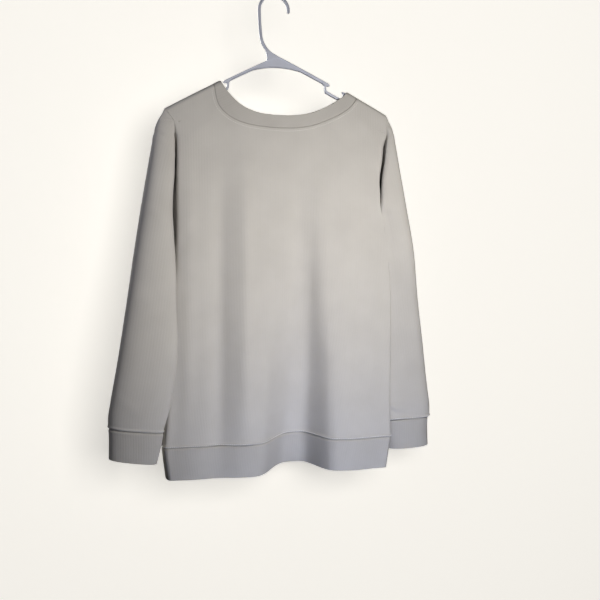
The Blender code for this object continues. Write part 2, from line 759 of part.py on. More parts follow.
def hem_columns(back):
    """Places of the hem band's columns: a side and a distance from it, or a share of the width."""
    neck = BACK_NECK if back else FRONT_NECK
    count = 2 * SHOULDER_COLUMNS + NECK_STEPS * (len(neck) - 3) + 1
    inner = [(None, share) for share in hem_shares(count, back)]
    left = [(-1, distance) for distance in SIDE_STEPS]
    right = [(1, distance) for distance in reversed(SIDE_STEPS)]
    return left + inner + right


def hem_point(column, height, back):
    """A point of the hem band."""
    side, place = column
    if side is None:
        x = blend(body_side(height, -1) + SIDE_ROUND, body_side(height, 1) - SIDE_ROUND, place)
        x_seam = blend(body_side(HEM_SEAM, -1) + SIDE_ROUND, body_side(HEM_SEAM, 1) - SIDE_ROUND, place)
    else:
        x = body_side(height, side) - side * place
        x_seam = body_side(HEM_SEAM, side) - side * place
    return Vector((x, panel_y(x, height, back), height + hem_lift(x_seam)))


def neckband(name, look):
    """The ribbed ring of the neckline, over both arms of the hanger."""
    back = neck_stations(BACK_NECK)
    front = neck_stations(FRONT_NECK)
    grid = []
    for row in range(NECK_ROWS):
        share = row / (NECK_ROWS - 1)
        line = [neck_band_point(seam, edge, share, True) for seam, edge in back]
        line += [neck_band_point(seam, edge, share, False) for seam, edge in reversed(front[1:-1])]
        line[0].y = 0.0
        line[len(back) - 1].y = 0.0
        grid.append(line)
    return sheet(name, grid, True, True, RIB, look)


def neck_band_point(seam, edge, share, back):
    """A point between the seam and the free edge of the neckband."""
    start = Vector((seam[0], seam[1]))
    end = Vector((edge[0], edge[1]))
    along_band = (end - start).normalized()
    start += along_band * EDGE_GAP / 2
    place = start.lerp(end, share)
    return Vector((place.x, panel_y(place.x, place.y, back), place.y))


# ---------------------------------------------------------------------------------------------
# Hanger
# ---------------------------------------------------------------------------------------------
def flat_piece(name, points, thickness, edge, collection):
    """A flat outline in the XZ plane, given thickness, as a mesh object."""
    curve = bpy.data.curves.new(name, 'CURVE')
    curve.dimensions = '2D'
    curve.fill_mode = 'BOTH'
    curve.extrude = thickness - edge
    curve.bevel_depth = edge
    curve.bevel_resolution = 0
    curve.offset = -edge
    spline = curve.splines.new('POLY')
    spline.points.add(len(points) - 1)
    for place, (x, z) in zip(spline.points, points):
        place.co = (x, z, 0.0, 1.0)
    spline.use_cyclic_u = True
    source = bpy.data.objects.new(name + "_outline", curve)
    source.rotation_euler = (math.radians(90.0), 0.0, 0.0)
    return as_mesh(name, source, collection)


def as_mesh(name, source, collection):
    """Turn a curve object into a welded mesh object and remove the curve."""
    bpy.context.scene.collection.objects.link(source)
    bpy.context.view_layer.update()
    graph = bpy.context.evaluated_depsgraph_get()
    mesh = bpy.data.meshes.new_from_object(source.evaluated_get(graph))
    shape = bmesh.new()
    shape.from_mesh(mesh)
    shape.transform(source.matrix_world)
    bmesh.ops.remove_doubles(shape, verts=shape.verts, dist=WELD)
    bmesh.ops.dissolve_limit(shape, angle_limit=0.002, verts=shape.verts, edges=shape.edges)
    bmesh.ops.recalc_face_normals(shape, faces=shape.faces)
    shape.to_mesh(mesh)
    shape.free()
    made = bpy.data.objects.new(name, mesh)
    collection.objects.link(made)
    bpy.data.objects.remove(source)
    return made


def web_underside(reach):
    """Height of the web's lower edge at a distance from the middle, negative to the left."""
    side = math.copysign(WEB_REACH, reach)
    end = arm_height(HANGER_X + side) - ARM_HEIGHT
    return blend(ARM_TOP - WEB_DEPTH, end, (reach / WEB_REACH) ** 2)


def half_outline(side):
    """Outline of one arm with its notch, from the middle out and back."""
    places = []
    for index in range(ARM_STEPS):
        places.append((blend(COLLAR_START, NOTCH[0].reach, index / ARM_STEPS), 0.0))
    places += NOTCH
    for index in range(1, ARM_STEPS):
        places.append((blend(NOTCH[-1].reach, TIP[0].reach, index / ARM_STEPS), 0.0))
    places += TIP
    for index in range(1, ARM_STEPS // 2 + 1):
        places.append((blend(TIP[-1].reach, WEB_REACH, index / (ARM_STEPS // 2)), ARM_HEIGHT))
    points = []
    for reach, drop in places:
        x = HANGER_X + side * reach
        points.append((x, arm_height(x) - drop))
    for index in range(1, ARM_STEPS):
        reach = side * WEB_REACH * (1.0 - index / ARM_STEPS)
        points.append((HANGER_X + reach, web_underside(reach)))
    return points


def hanger_outline():
    """Outline of the moulding without its hook."""
    left = half_outline(-1)[::-1]
    top_line = len(left) - ARM_STEPS
    limit = COLLAR[0].x - ROD_RADIUS
    kept = [point for index, point in enumerate(left) if index < top_line or point[0] < limit]
    return half_outline(1) + [(HANGER_X, web_underside(0.0))] + kept + list(COLLAR)


def groove_outline():
    """Outline of the groove between the moulding's edges."""
    upper = []
    lower = []
    for index in range(GROOVE_STEPS):
        reach = blend(-GROOVE_REACH, GROOVE_REACH, index / (GROOVE_STEPS - 1))
        x = HANGER_X + reach
        low = arm_height(x) - ARM_HEIGHT
        if abs(reach) < WEB_REACH:
            low = web_underside(reach)
        upper.append((x, arm_height(x) - FLANGE))
        lower.append((x, low + FLANGE))
    return upper + lower[::-1]


def hook_point(degrees):
    """A point of the hook's round centre line."""
    angle = math.radians(degrees)
    return (HOOK_RADIUS * math.cos(angle), HOOK_RADIUS * (math.sin(angle) - 1.0) + ROD_RADIUS)


def hook_route():
    """Centre line of the hook wire, from inside the moulding to the tip, with its thickness."""
    route = [(tuple(point), 1.0) for point in STEM]
    for index in range(HOOK_STEPS + 1):
        route.append((hook_point(blend(180.0, HOOK_END, index / HOOK_STEPS)), 1.0))
    route.append((hook_point(HOOK_TIP), TIP_SHARE))
    return route


def cut(target, tool, operation):
    """Apply one exact Boolean and leave the tool out of the part."""
    step = target.modifiers.new(operation.title(), 'BOOLEAN')
    step.operation = operation
    step.solver = 'EXACT'
    step.object = tool
    tool.display_type = 'WIRE'
    tool.hide_render = True


def hanger(name, look):
    """The moulded hanger: hook, web, grooved arms and strap notches."""
    frame = flat_piece(name, hanger_outline(), PLATE, PLATE_EDGE, garment)
    for number, side in enumerate((-1, 1)):
        pocket = flat_piece("groove_%d" % number, groove_outline(), GROOVE, 0.0, cutters)
        pocket.location.y = side * PLATE
        cut(frame, pocket, 'DIFFERENCE')
    curve = bpy.data.curves.new("hook", 'CURVE')
    curve.dimensions = '3D'
    curve.bevel_depth = ROD_RADIUS
    curve.bevel_resolution = 1
    curve.use_fill_caps = True
    spline = curve.splines.new('POLY')
    route = hook_route()
    spline.points.add(len(route) - 1)
    for place, ((x, z), size) in zip(spline.points, route):
        place.co = (x, 0.0, z, 1.0)
        place.radius = size
    wire = as_mesh("hook_wire", bpy.data.objects.new("hook_route", curve), cutters)
    cut(frame, wire, 'UNION')
    frame.data.materials.clear()
    frame.data.materials.append(look)
    return frame


# ---------------------------------------------------------------------------------------------
# The object
# ---------------------------------------------------------------------------------------------
for stale in list(bpy.data.objects):
    bpy.data.objects.remove(stale)

garment = bpy.data.collections.new("sweatshirt_on_hanger")
bpy.context.scene.collection.children.link(garment)
cutters = bpy.data.collections.new("cutters")
bpy.context.scene.collection.children.link(cutters)

fleece = material("fleece", CLOTH_COLOUR, 0.95)
rib_knit = material("rib_knit", RIB_COLOUR, 0.95)
plastic = material("moulded_plastic", PLASTIC_COLOUR, 0.35)

panel("back_panel", BACK_NECK, True, fleece)
panel("front_panel", FRONT_NECK, False, fleece)
sleeve("sleeve_left", LEFT_SLEEVE, -1, LEFT_TILT, fleece)
sleeve("sleeve_right", RIGHT_SLEEVE, 1, RIGHT_TILT, fleece)
cuff("cuff_left", LEFT_CUFF, -1, LEFT_TILT, rib_knit)
cuff("cuff_right", RIGHT_CUFF, 1, RIGHT_TILT, rib_knit)
hem_band("hem_band", rib_knit)
neckband("neckband", rib_knit)
hanger("hanger", plastic)
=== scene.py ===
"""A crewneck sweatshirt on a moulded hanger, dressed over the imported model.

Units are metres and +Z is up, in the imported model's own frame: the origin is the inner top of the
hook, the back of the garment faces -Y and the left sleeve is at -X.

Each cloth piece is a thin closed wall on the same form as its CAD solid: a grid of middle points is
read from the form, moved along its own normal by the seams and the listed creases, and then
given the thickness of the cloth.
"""

from __future__ import annotations

import logging
import math
from collections.abc import Sequence
from dataclasses import dataclass, field
from enum import Enum
from typing import NamedTuple

import bpy
import numpy as np
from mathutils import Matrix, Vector


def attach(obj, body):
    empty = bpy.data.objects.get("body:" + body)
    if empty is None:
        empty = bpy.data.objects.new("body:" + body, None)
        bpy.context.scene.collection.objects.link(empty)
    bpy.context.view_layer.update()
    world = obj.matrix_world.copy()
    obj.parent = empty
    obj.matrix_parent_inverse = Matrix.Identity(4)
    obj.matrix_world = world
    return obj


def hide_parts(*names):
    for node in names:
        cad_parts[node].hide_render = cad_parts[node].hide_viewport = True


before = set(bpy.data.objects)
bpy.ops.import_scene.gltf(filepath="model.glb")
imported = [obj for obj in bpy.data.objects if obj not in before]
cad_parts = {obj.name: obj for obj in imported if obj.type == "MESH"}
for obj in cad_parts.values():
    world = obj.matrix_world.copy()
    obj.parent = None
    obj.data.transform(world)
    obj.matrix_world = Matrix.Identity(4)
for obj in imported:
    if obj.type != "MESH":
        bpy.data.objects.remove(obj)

LOG = logging.getLogger("sweatshirt")
Array = np.ndarray
Point = tuple[float, float, float]
Material = bpy.types.Material
Mesh = bpy.types.Mesh
NodeTree = bpy.types.NodeTree
Object = bpy.types.Object


# ---- Tables of the garment's form ----
class BodyRow(NamedTuple):
    """Sides of the body at a height."""

    height: float
    left: float
    right: float


class SleeveRow(NamedTuple):
    """Section of a sleeve: x of both sides, y of its middle, depth to its back and front."""

    height: float
    outer: float
    inner: float
    middle: float
    back: float
    front: float


class NeckRow(NamedTuple):
    """Matching points of the neck seam and the band's free edge; None lies on the arm's crest."""

    seam_x: float
    seam_z: float | None
    edge_x: float
    edge_z: float | None


class Fold(NamedTuple):
    """A vertical fold: feet and shoulders at the hem, swing towards +Y there, start and growth."""

    left_foot: float
    left_top: float
    right_top: float
    right_foot: float
    swing: float
    start: float
    growth: float
    left_in: float
    right_in: float


class Crease(NamedTuple):
    """A soft ridge (height above 0) or trough on a bowed line, with its half width."""

    from_x: float
    from_z: float
    to_x: float
    to_z: float
    bow: float
    width: float
    height: float


class PleatRow(NamedTuple):
    """How the cloth stands beside an armhole at a height.

    turn is the width of the body's turned side, roll how far that side swells over the pleat, sink
    how much deeper than the solids the pleat goes, gap how far the sleeve stands off the body
    (below 0 it hangs over it), and under how steeply the pleat runs in under the cloth to its
    right.
    """

    height: float
    turn: float
    roll: float
    sink: float
    gap: float
    under: float


def rows_of(kind: type, *rows: tuple[float | None, ...]) -> tuple:
    """A table's rows, each made of its numbers in the order of its fields."""
    return tuple(kind(*row) for row in rows)


LEFT_PLEAT = rows_of(
    PleatRow,
    (-0.226, 0.016, 0.0, 0.0, 0.0, 0.0),
    (-0.243, 0.011, -0.0006, 0.002, -0.0004, 0.3),
    (-0.26, 0.0085, -0.0014, 0.006, -0.0014, 0.7),
    (-0.29, 0.0075, -0.0022, 0.0095, -0.0024, 0.9),
    (-0.32, 0.007, -0.0026, 0.0115, -0.0024, 0.95),
    (-0.355, 0.007, -0.0028, 0.012, -0.0004, 0.95),
    (-0.392, 0.0072, -0.0022, 0.012, 0.0012, 0.9),
    (-0.427, 0.0076, -0.001, 0.011, 0.0004, 0.8),
    (-0.46, 0.008, -0.0002, 0.005, -0.0018, 0.2),
    (-0.495, 0.0085, 0.0, 0.0, -0.0026, 0.0),
    (-0.555, 0.0085, 0.0, 0.0, -0.003, 0.0),
    (-0.605, 0.0085, 0.0, 0.0, -0.0036, 0.0),
    (-0.64, 0.0085, 0.0, 0.0, -0.003, 0.0),
    (-0.675, 0.0085, 0.0, 0.0, -0.0018, 0.0),
    (-0.71, 0.0085, 0.0, 0.0, -0.0004, 0.0),
    (-0.76, 0.0085, 0.0, 0.0, 0.0, 0.0),
)
RIGHT_PLEAT = rows_of(
    PleatRow,
    (-0.226, 0.016, 0.0, 0.0, 0.0, 0.0),
    (-0.243, 0.01, -0.002, 0.002, -0.001, 0.3),
    (-0.254, 0.009, -0.0024, 0.005, -0.0016, 0.6),
    (-0.287, 0.0085, -0.0004, 0.009, -0.0004, 0.8),
    (-0.322, 0.007, -0.0026, 0.01, -0.0028, 0.8),
    (-0.353, 0.0055, -0.0026, 0.009, -0.0056, 0.7),
    (-0.37, 0.0045, -0.0038, 0.002, -0.0076, 0.2),
    (-0.388, 0.004, -0.001, -0.0095, -0.007, 0.0),
    (-0.42, 0.004, 0.0036, -0.0095, -0.004, 0.0),
    (-0.46, 0.004, 0.005, -0.0095, -0.003, 0.0),
    (-0.52, 0.0045, 0.005, -0.006, -0.003, 0.0),
    (-0.58, 0.005, 0.004, 0.0, 0.0, 0.0),
    (-0.64, 0.006, 0.003, 0.0, 0.0, 0.0),
    (-0.76, 0.008, 0.0, 0.0, 0.0, 0.0),
)
BODY_ROWS = rows_of(
    BodyRow,
    (-0.204, -0.1985, 0.211),
    (-0.212, -0.1935, 0.2125),
    (-0.226, -0.1835, 0.2125),
    (-0.243, -0.1795, 0.2125),
    (-0.27, -0.18, 0.2085),
    (-0.32, -0.182, 0.2035),
    (-0.365, -0.183, 0.205),
    (-0.455, -0.1815, 0.211),
    (-0.545, -0.1865, 0.217),
    (-0.635, -0.1925, 0.219),
    (-0.73, -0.199, 0.221),
    (-0.803, -0.205, 0.223),
)
HEM_ROWS = rows_of(
    BodyRow,
    (-0.803, -0.205, 0.223),
    (-0.82, -0.2035, 0.22),
    (-0.8605, -0.1985, 0.214),
)
LEFT_SLEEVE = rows_of(
    SleeveRow,
    (-0.204, -0.2005, -0.199, 0.0, 0.005, 0.005),
    (-0.212, -0.203, -0.196, 0.0, 0.0088, 0.009),
    (-0.226, -0.209, -0.186, 0.0, 0.0095, 0.01),
    (-0.243, -0.2145, -0.183, 0.001, 0.013, 0.014),
    (-0.27, -0.2195, -0.183, 0.002, 0.0175, 0.019),
    (-0.32, -0.2285, -0.185, 0.002, 0.0225, 0.024),
    (-0.365, -0.2365, -0.186, 0.001, 0.025, 0.026),
    (-0.455, -0.252, -0.185, -0.004, 0.027, 0.029),
    (-0.545, -0.2675, -0.1865, -0.02, 0.027, 0.029),
    (-0.635, -0.2835, -0.187, -0.033, 0.026, 0.027),
    (-0.715, -0.298, -0.1945, -0.032, 0.026, 0.026),
    (-0.742, -0.302, -0.201, -0.03, 0.026, 0.026),
    (-0.766, -0.3015, -0.208, -0.028, 0.024, 0.024),
)
RIGHT_SLEEVE = rows_of(
    SleeveRow,
    (-0.204, 0.2135, 0.212, 0.0, 0.005, 0.005),
    (-0.212, 0.217, 0.214, 0.0, 0.0088, 0.009),
    (-0.226, 0.224, 0.2145, 0.0, 0.0095, 0.01),
    (-0.243, 0.229, 0.2145, 0.001, 0.013, 0.014),
    (-0.27, 0.2335, 0.211, 0.002, 0.0175, 0.019),
    (-0.32, 0.242, 0.206, 0.003, 0.0225, 0.024),
    (-0.365, 0.25, 0.2075, 0.004, 0.026, 0.028),
    (-0.455, 0.268, 0.214, 0.008, 0.029, 0.03),
    (-0.545, 0.2855, 0.219, 0.028, 0.028, 0.032),
    (-0.635, 0.3005, 0.217, 0.037, 0.028, 0.032),
    (-0.715, 0.3095, 0.219, 0.036, 0.028, 0.031),
    (-0.75, 0.314, 0.219, 0.035, 0.029, 0.03),
    (-0.776, 0.314, 0.223, 0.034, 0.027, 0.028),
)
LEFT_CUFF = rows_of(
    SleeveRow,
    (-0.766, -0.301, -0.2085, -0.028, 0.0235, 0.0235),
    (-0.785, -0.3005, -0.212, -0.028, 0.0225, 0.0225),
    (-0.82, -0.301, -0.2205, -0.027, 0.0215, 0.0215),
)
RIGHT_CUFF = rows_of(
    SleeveRow,
    (-0.776, 0.313, 0.224, 0.034, 0.0265, 0.0275),
    (-0.795, 0.3125, 0.227, 0.034, 0.026, 0.0265),
    (-0.832, 0.3135, 0.233, 0.033, 0.025, 0.025),
)
BACK_NECK = rows_of(
    NeckRow,
    (-0.111, None, -0.0985, None),
    (-0.1045, -0.193, -0.088, -0.17),
    (-0.088, -0.2125, -0.066, -0.192),
    (-0.062, -0.2255, -0.044, -0.2035),
    (-0.026, -0.232, -0.018, -0.2095),
    (0.02, -0.234, 0.021, -0.211),
    (0.058, -0.23, 0.057, -0.207),
    (0.087, -0.2215, 0.083, -0.1985),
    (0.115, -0.209, 0.104, -0.188),
    (0.14, -0.1935, 0.1235, -0.176),
    (0.156, None, 0.137, None),
)
FRONT_NECK = rows_of(
    NeckRow,
    (-0.111, None, -0.0985, None),
    (-0.0985, -0.228, -0.077, -0.212),
    (-0.08, -0.256, -0.062, -0.237),
    (-0.056, -0.275, -0.042, -0.2545),
    (-0.022, -0.2865, -0.015, -0.264),
    (0.021, -0.29, 0.021, -0.267),
    (0.063, -0.2865, 0.056, -0.264),
    (0.096, -0.275, 0.082, -0.2545),
    (0.121, -0.256, 0.103, -0.237),
    (0.141, -0.228, 0.119, -0.212),
    (0.156, None, 0.137, None),
)
COMMON_FOLDS = rows_of(
    Fold,
    (-0.04, 0.038, 0.072, 0.104, 0.074, -0.29, 1.45, 0.038, -0.01),
)
BACK_FOLDS = rows_of(
    Fold,
    (-0.112, -0.066, -0.044, 0.004, -0.01, -0.26, 0.8, 0.004, 0.01),
    (-0.192, -0.16, -0.15, -0.104, -0.004, -0.26, 0.8, 0.004, 0.004),
    (0.1, 0.138, 0.15, 0.196, -0.007, -0.28, 0.8, -0.008, -0.004),
)
FRONT_FOLDS = rows_of(
    Fold,
    (-0.15, -0.12, -0.1, -0.05, 0.014, -0.32, 0.9, 0.01, 0.01),
    (0.105, 0.142, 0.152, 0.19, 0.011, -0.34, 0.9, -0.004, -0.01),
    (-0.06, -0.03, -0.016, 0.01, -0.006, -0.4, 1.0, 0.004, 0.004),
)
LEFT_TILT = 0.0060      # how far each sleeve's end rises at its outer side
RIGHT_TILT = 0.0020

# Creases and long folds that the solids don't have at their full depth
BACK_CREASES = rows_of(
    Crease,
    (-0.1, -0.215, -0.168, -0.275, -0.006, 0.011, 0.0011),
    (-0.082, -0.24, -0.15, -0.33, -0.01, 0.013, -0.0008),
    (0.148, -0.206, 0.192, -0.262, 0.006, 0.01, 0.0009),
    (0.12, -0.232, 0.182, -0.315, 0.009, 0.013, -0.0007),
    (-0.176, -0.452, -0.128, -0.392, 0.006, 0.01, -0.0012),
    (-0.178, -0.476, -0.14, -0.52, 0.008, 0.012, 0.001),
    (0.203, -0.446, 0.16, -0.395, -0.006, 0.01, -0.0011),
    (0.206, -0.482, 0.172, -0.54, -0.006, 0.013, 0.0009),
    (-0.15, -0.56, -0.156, -0.79, 0.003, 0.014, -0.0011),
    (0.148, -0.44, 0.156, -0.792, 0.002, 0.014, -0.0017),
    (0.182, -0.46, 0.19, -0.792, 0.002, 0.013, 0.0014),
    (-0.02, -0.64, -0.026, -0.796, 0.003, 0.009, 0.0008),
    (0.118, -0.6, 0.124, -0.795, -0.002, 0.01, 0.0008),
    (-0.056, -0.29, -0.062, -0.85, 0.002, 0.017, 0.0068),
    (-0.098, -0.3, -0.106, -0.85, -0.002, 0.017, -0.0066),
    (-0.16, -0.29, -0.165, -0.79, 0.002, 0.015, 0.0042),
    (0.04, -0.31, 0.046, -0.62, 0.001, 0.015, -0.0036),
    (0.08, -0.31, 0.088, -0.64, -0.002, 0.015, 0.003),
)
FRONT_CREASES = rows_of(
    Crease,
    (-0.096, -0.25, -0.165, -0.315, -0.007, 0.012, 0.0011),
    (0.138, -0.25, 0.19, -0.31, 0.006, 0.012, 0.001),
    (-0.174, -0.455, -0.118, -0.38, 0.007, 0.011, -0.0014),
    (0.202, -0.45, 0.15, -0.382, -0.007, 0.011, -0.0013),
    (-0.172, -0.5, -0.12, -0.61, 0.01, 0.014, 0.001),
    (0.2, -0.5, 0.158, -0.6, -0.01, 0.014, 0.001),
    (-0.08, -0.62, -0.086, -0.792, 0.004, 0.01, 0.0009),
    (0.128, -0.64, 0.131, -0.794, -0.003, 0.009, 0.0008),
    (-0.005, -0.33, -0.012, -0.47, 0.005, 0.016, 0.001),
)
LEFT_SLEEVE_CREASES = rows_of(
    Crease,
    (-0.224, -0.246, -0.2, -0.252, 0.001, 0.0034, -0.0014),
    (-0.222, -0.256, -0.196, -0.27, 0.002, 0.005, 0.0008),
    (-0.236, -0.372, -0.196, -0.43, 0.006, 0.01, 0.0008),
    (-0.262, -0.5, -0.206, -0.56, 0.008, 0.012, -0.0007),
    (-0.296, -0.7, -0.25, -0.742, 0.004, 0.008, 0.0007),
    (-0.205, -0.69, -0.236, -0.752, -0.004, 0.008, -0.0009),
)
RIGHT_SLEEVE_CREASES = rows_of(
    Crease,
    (0.222, -0.248, 0.236, -0.256, 0.001, 0.004, -0.0008),
    (0.222, -0.752, 0.258, -0.766, -0.003, 0.0036, -0.0022),
    (0.224, -0.743, 0.256, -0.756, -0.003, 0.0044, 0.0018),
    (0.246, -0.392, 0.226, -0.45, 0.005, 0.01, 0.0008),
    (0.28, -0.56, 0.232, -0.62, 0.006, 0.012, -0.0008),
    (0.306, -0.7, 0.27, -0.752, 0.005, 0.009, 0.0008),
)


# ---- Curves ----
def smooth(value: Array | float) -> Array:
    """Ease from 0 to 1 as value goes from 0 to 1."""
    held = np.clip(value, 0.0, 1.0)
    return held * held * (3.0 - 2.0 * held)


def blend(low: Array | float, high: Array | float, share: Array | float) -> Array:
    """Mix two values."""
    return low + (high - low) * share


def bell(distance: Array, width: float) -> Array:
    """A soft bump of height 1 at distance 0."""
    return np.exp(-((distance / width) ** 2))


def around(share: Array | float, exponent: float) -> tuple[Array, Array]:
    """Point of a superellipse.

    Args:
        share: 0 is the outer side, 0.5 the back, 1 the inner side and 1.5 the front.
        exponent: how square it is; 2 is an ellipse.

    Returns:
        Its cosine and sine parts, each from -1 to 1.
    """
    angle = np.pi * np.asarray(share, float)
    cosine = np.cos(angle)
    sine = np.sin(angle)
    power = 2.0 / exponent
    return np.sign(cosine) * np.abs(cosine) ** power, np.sign(sine) * np.abs(sine) ** power


def through(points: Sequence[tuple[float, float]], position: float) -> tuple[float, float]:
    """Catmull-Rom point on a list of (x, z) at a fractional index.

    Args:
        points: the list.
        position: index of the place, with its fraction.

    Returns:
        x and z of the place.
    """
    last = len(points) - 1
    index = min(int(position), last - 1)
    share = position - index
    before, after = points[max(index - 1, 0)], points[min(index + 2, last)]
    rows = (before, points[index], points[index + 1], after)
    mixed = []
    for p0, p1, p2, p3 in zip(*rows):
        mixed.append(0.5 * (2 * p1 + (p2 - p0) * share + (2 * p0 - 5 * p1 + 4 * p2 - p3) * share**2
                            + (3 * p1 - p0 - 3 * p2 + p3) * share**3))
    return mixed[0], mixed[1]


class Rows:
    """Smooth curves through the columns of a table whose heights go down."""

    def __init__(self, rows: Sequence[NamedTuple]) -> None:
        """Read the table's columns."""
        self.heights = np.array([row.height for row in rows])
        names = rows[0]._fields
        self.columns = {name: np.array([getattr(row, name) for row in rows]) for name in names}

    def at(self, column: str, height: Array | float) -> Array:
        """Value of a column at some heights.

        Args:
            column: name of the field.
            height: heights to read, held within the table.

        Returns:
            The column's value at each height.
        """
        heights = self.heights
        values = self.columns[column]
        last = len(heights) - 1
        held = np.clip(height, heights[-1], heights[0])
        index = np.clip(np.searchsorted(-heights, -held, side="right") - 1, 0, last - 1)
        span = heights[index] - heights[index + 1]
        share = (heights[index] - held) / span
        before = np.maximum(index - 1, 0)
        after = np.minimum(index + 2, last)
        step = values[index + 1] - values[index]
        gap_in = np.where(before < index, heights[before] - heights[index + 1], 1.0)
        gap_out = np.where(after > index + 1, heights[index] - heights[after], 1.0)
        slope_in = (values[index + 1] - values[before]) / gap_in * span
        slope_in = np.where(before < index, slope_in, step)
        slope_out = (values[after] - values[index]) / gap_out * span
        slope_out = np.where(after > index + 1, slope_out, step)
        square = share * share
        cube = square * share
        return (values[index] * (2 * cube - 3 * square + 1) + slope_in * (cube - 2 * square + share)
                + values[index + 1] * (3 * square - 2 * cube) + slope_out * (cube - square))


# ---- Form of the garment, as the solids have it ----
class Face(Enum):
    """Which side of the garment a sheet hangs on."""

    BACK = "back"
    FRONT = "front"


class Hand(Enum):
    """Which side of the body a sleeve is on."""

    LEFT = -1
    RIGHT = 1


@dataclass(frozen=True)
class ArmLine:
    """Crest of the hanger's arms."""

    middle: float = 0.0057
    tilt: float = 0.0110
    top: float = -0.1043
    slope: float = 0.465
    bend: float = 0.18
    cloth_rise: float = 0.0024

    def cloth_height(self, x: Array | float) -> Array:
        """Middle of the cloth's wall where it crosses the arm."""
        reach = np.abs(np.asarray(x, float) - self.middle)
        fall = reach * (self.slope + self.bend * reach)
        return self.top - fall + self.tilt * (x - self.middle) + self.cloth_rise


@dataclass(frozen=True)
class Form:
    """Where the cloth hangs: depth of both panels, their sides, folds and armholes.

    A depth is measured from the plane of the hanger's arms, and a fall from their crest.
    """

    arm: ArmLine = ArmLine()
    cloth: float = 0.0020  # thickness of the fleece, and of the doubled rib
    rib: float = 0.0024
    edge_gap: float = 0.0005  # between two walls that meet edge to edge
    ply_gap: float = 0.0026  # from the body's side to the middle of the sleeve's wall
    fold_over: float = 0.0080  # radius of the cloth's turn over an arm
    crest_turn: float = 9.0  # degrees between the rows on that turn, and falls of the next
    crest_drops: tuple[float, ...] = (0.0095, 0.0115, 0.0140, 0.0165, 0.0190)
    corner: float = -0.2060  # heights of the shoulder corner, the armhole and the hem
    pit_top: float = -0.2260
    armpit: float = -0.4550
    hem_seam: float = -0.8030
    hem: float = -0.8605
    cloth_lift: float = 0.078  # rise of the hem for each metre that the folds swing it out
    hole_back: float = 0.0040  # depth of each panel's side at the open armhole
    hole_front: float = 0.0095
    hole_fade: float = 0.0450
    side_round: float = 0.0160  # width of the strip of close columns at each side
    side_power: float = 2.4  # how squarely the body turns at its sides
    pleat_lead: float = 0.0040  # where the pleats begin above the armhole, and how slowly
    pleat_run: float = 0.0500
    back_spread: float = 0.046  # how fast each panel leaves the arms, and its depth in the end
    front_spread: float = 0.062
    back_limit: float = 0.0190
    front_limit: float = 0.0250
    body: Rows = field(default_factory=lambda: Rows(BODY_ROWS))
    band: Rows = field(default_factory=lambda: Rows(HEM_ROWS))
    pleats: tuple[Rows, Rows] = field(default_factory=lambda: (Rows(LEFT_PLEAT), Rows(RIGHT_PLEAT)))
    samples: int = 800  # points of the line along which the hem's length is shared out
    softness: float = 0.0110  # how far the folds' corners are smoothed across
    flush_from: float = -0.3700  # height below which the right sleeve is level with the back

    def side(self, height: Array | float, hand: int) -> Array:
        """x of the body's side, down to the hem.

        Args:
            height: heights to read.
            hand: -1 for the left side, 1 for the right one.

        Returns:
            x at each height.
        """
        column = "left" if hand < 0 else "right"
        above = self.body.at(column, height)
        below = self.band.at(column, height)
        return np.where(np.asarray(height) >= self.hem_seam, above, below)

    def side_below(self, drop: float, hand: int) -> float:
        """x at which the body's side lies a drop below the crest of the arms."""
        x = float(self.side(self.corner, hand))
        for _ in range(30):
            x = float(self.side(self.arm.cloth_height(x) - drop, hand))
        return x

    def side_turn(self, x: Array, height: Array) -> Array:
        """0 at the body's side, 1 where the panel lies flat."""
        left = (x - self.side(height, -1)) / self.pleats[0].at("turn", height)
        right = (self.side(height, 1) - x) / self.pleats[1].at("turn", height)
        share = np.clip(np.minimum(left, right), 0.0, 1.0)
        return (1.0 - (1.0 - share) ** self.side_power) ** (1.0 / self.side_power)

    def hole(self, height: Array) -> Array:
        """How far the armhole stands open at a height, from 0 to 1."""
        inside = (height > self.armpit) & (height < self.corner)
        return np.where(inside, smooth((height - self.armpit) / self.hole_fade), 0.0)

    def open_depth(self, x: Array, height: Array, back: Array | bool) -> Array:
        """Depth of a panel away from its sides, from the plane of the arms.

        Args:
            x: places across the body.
            height: their heights.
            back: whether the panel hangs to the back.

        Returns:
            The depth at each point.
        """
        fall = np.maximum(self.arm.cloth_height(x) - height, 0.0)
        inside = np.clip(self.fold_over - fall, 0.0, self.fold_over)
        turned = np.sqrt(np.maximum(self.fold_over**2 - inside**2, 0.0))
        spread = np.where(back, self.back_spread, self.front_spread)
        free = np.where(back, self.back_limit, self.front_limit) - self.fold_over
        grown = spread * np.maximum(fall - self.fold_over, 0.0)
        return turned + free * (1.0 - np.exp(-grown / free))

    def edge_depth(self, x: Array, height: Array, back: Array | bool) -> Array:
        """Depth of a panel at its side, from the plane of the arms.

        Args:
            x: places across the body.
            height: their heights.
            back: whether the panel hangs to the back.

        Returns:
            The depth at the panel's side, for each point.
        """
        flat = self.open_depth(x, height, back)
        opening = np.where(back, self.hole_back, self.hole_front)
        deep = self.edge_gap / 2 + opening * self.hole(height)
        pleat = smooth((self.pit_top + self.pleat_lead - height) / self.pleat_run)
        depth = np.maximum(blend(flat, np.minimum(deep, flat), pleat), self.edge_gap / 2)
        sunk = [pleat.at("sink", height) for pleat in self.pleats]
        sink = np.where(x < self.arm.middle, *sunk) * self.hole(height)
        return depth - np.where(back, sink, 0.0)

    def swing(self, folds: Sequence[Fold], x: Array, height: Array | float) -> Array:
        """Sum of the swings of several folds towards +Y, with their corners softened."""
        soft = self.softness
        beside = self.sharp_swing(folds, x - soft, height)
        beside = beside + self.sharp_swing(folds, x + soft, height)
        return 0.5 * self.sharp_swing(folds, x, height) + 0.25 * beside

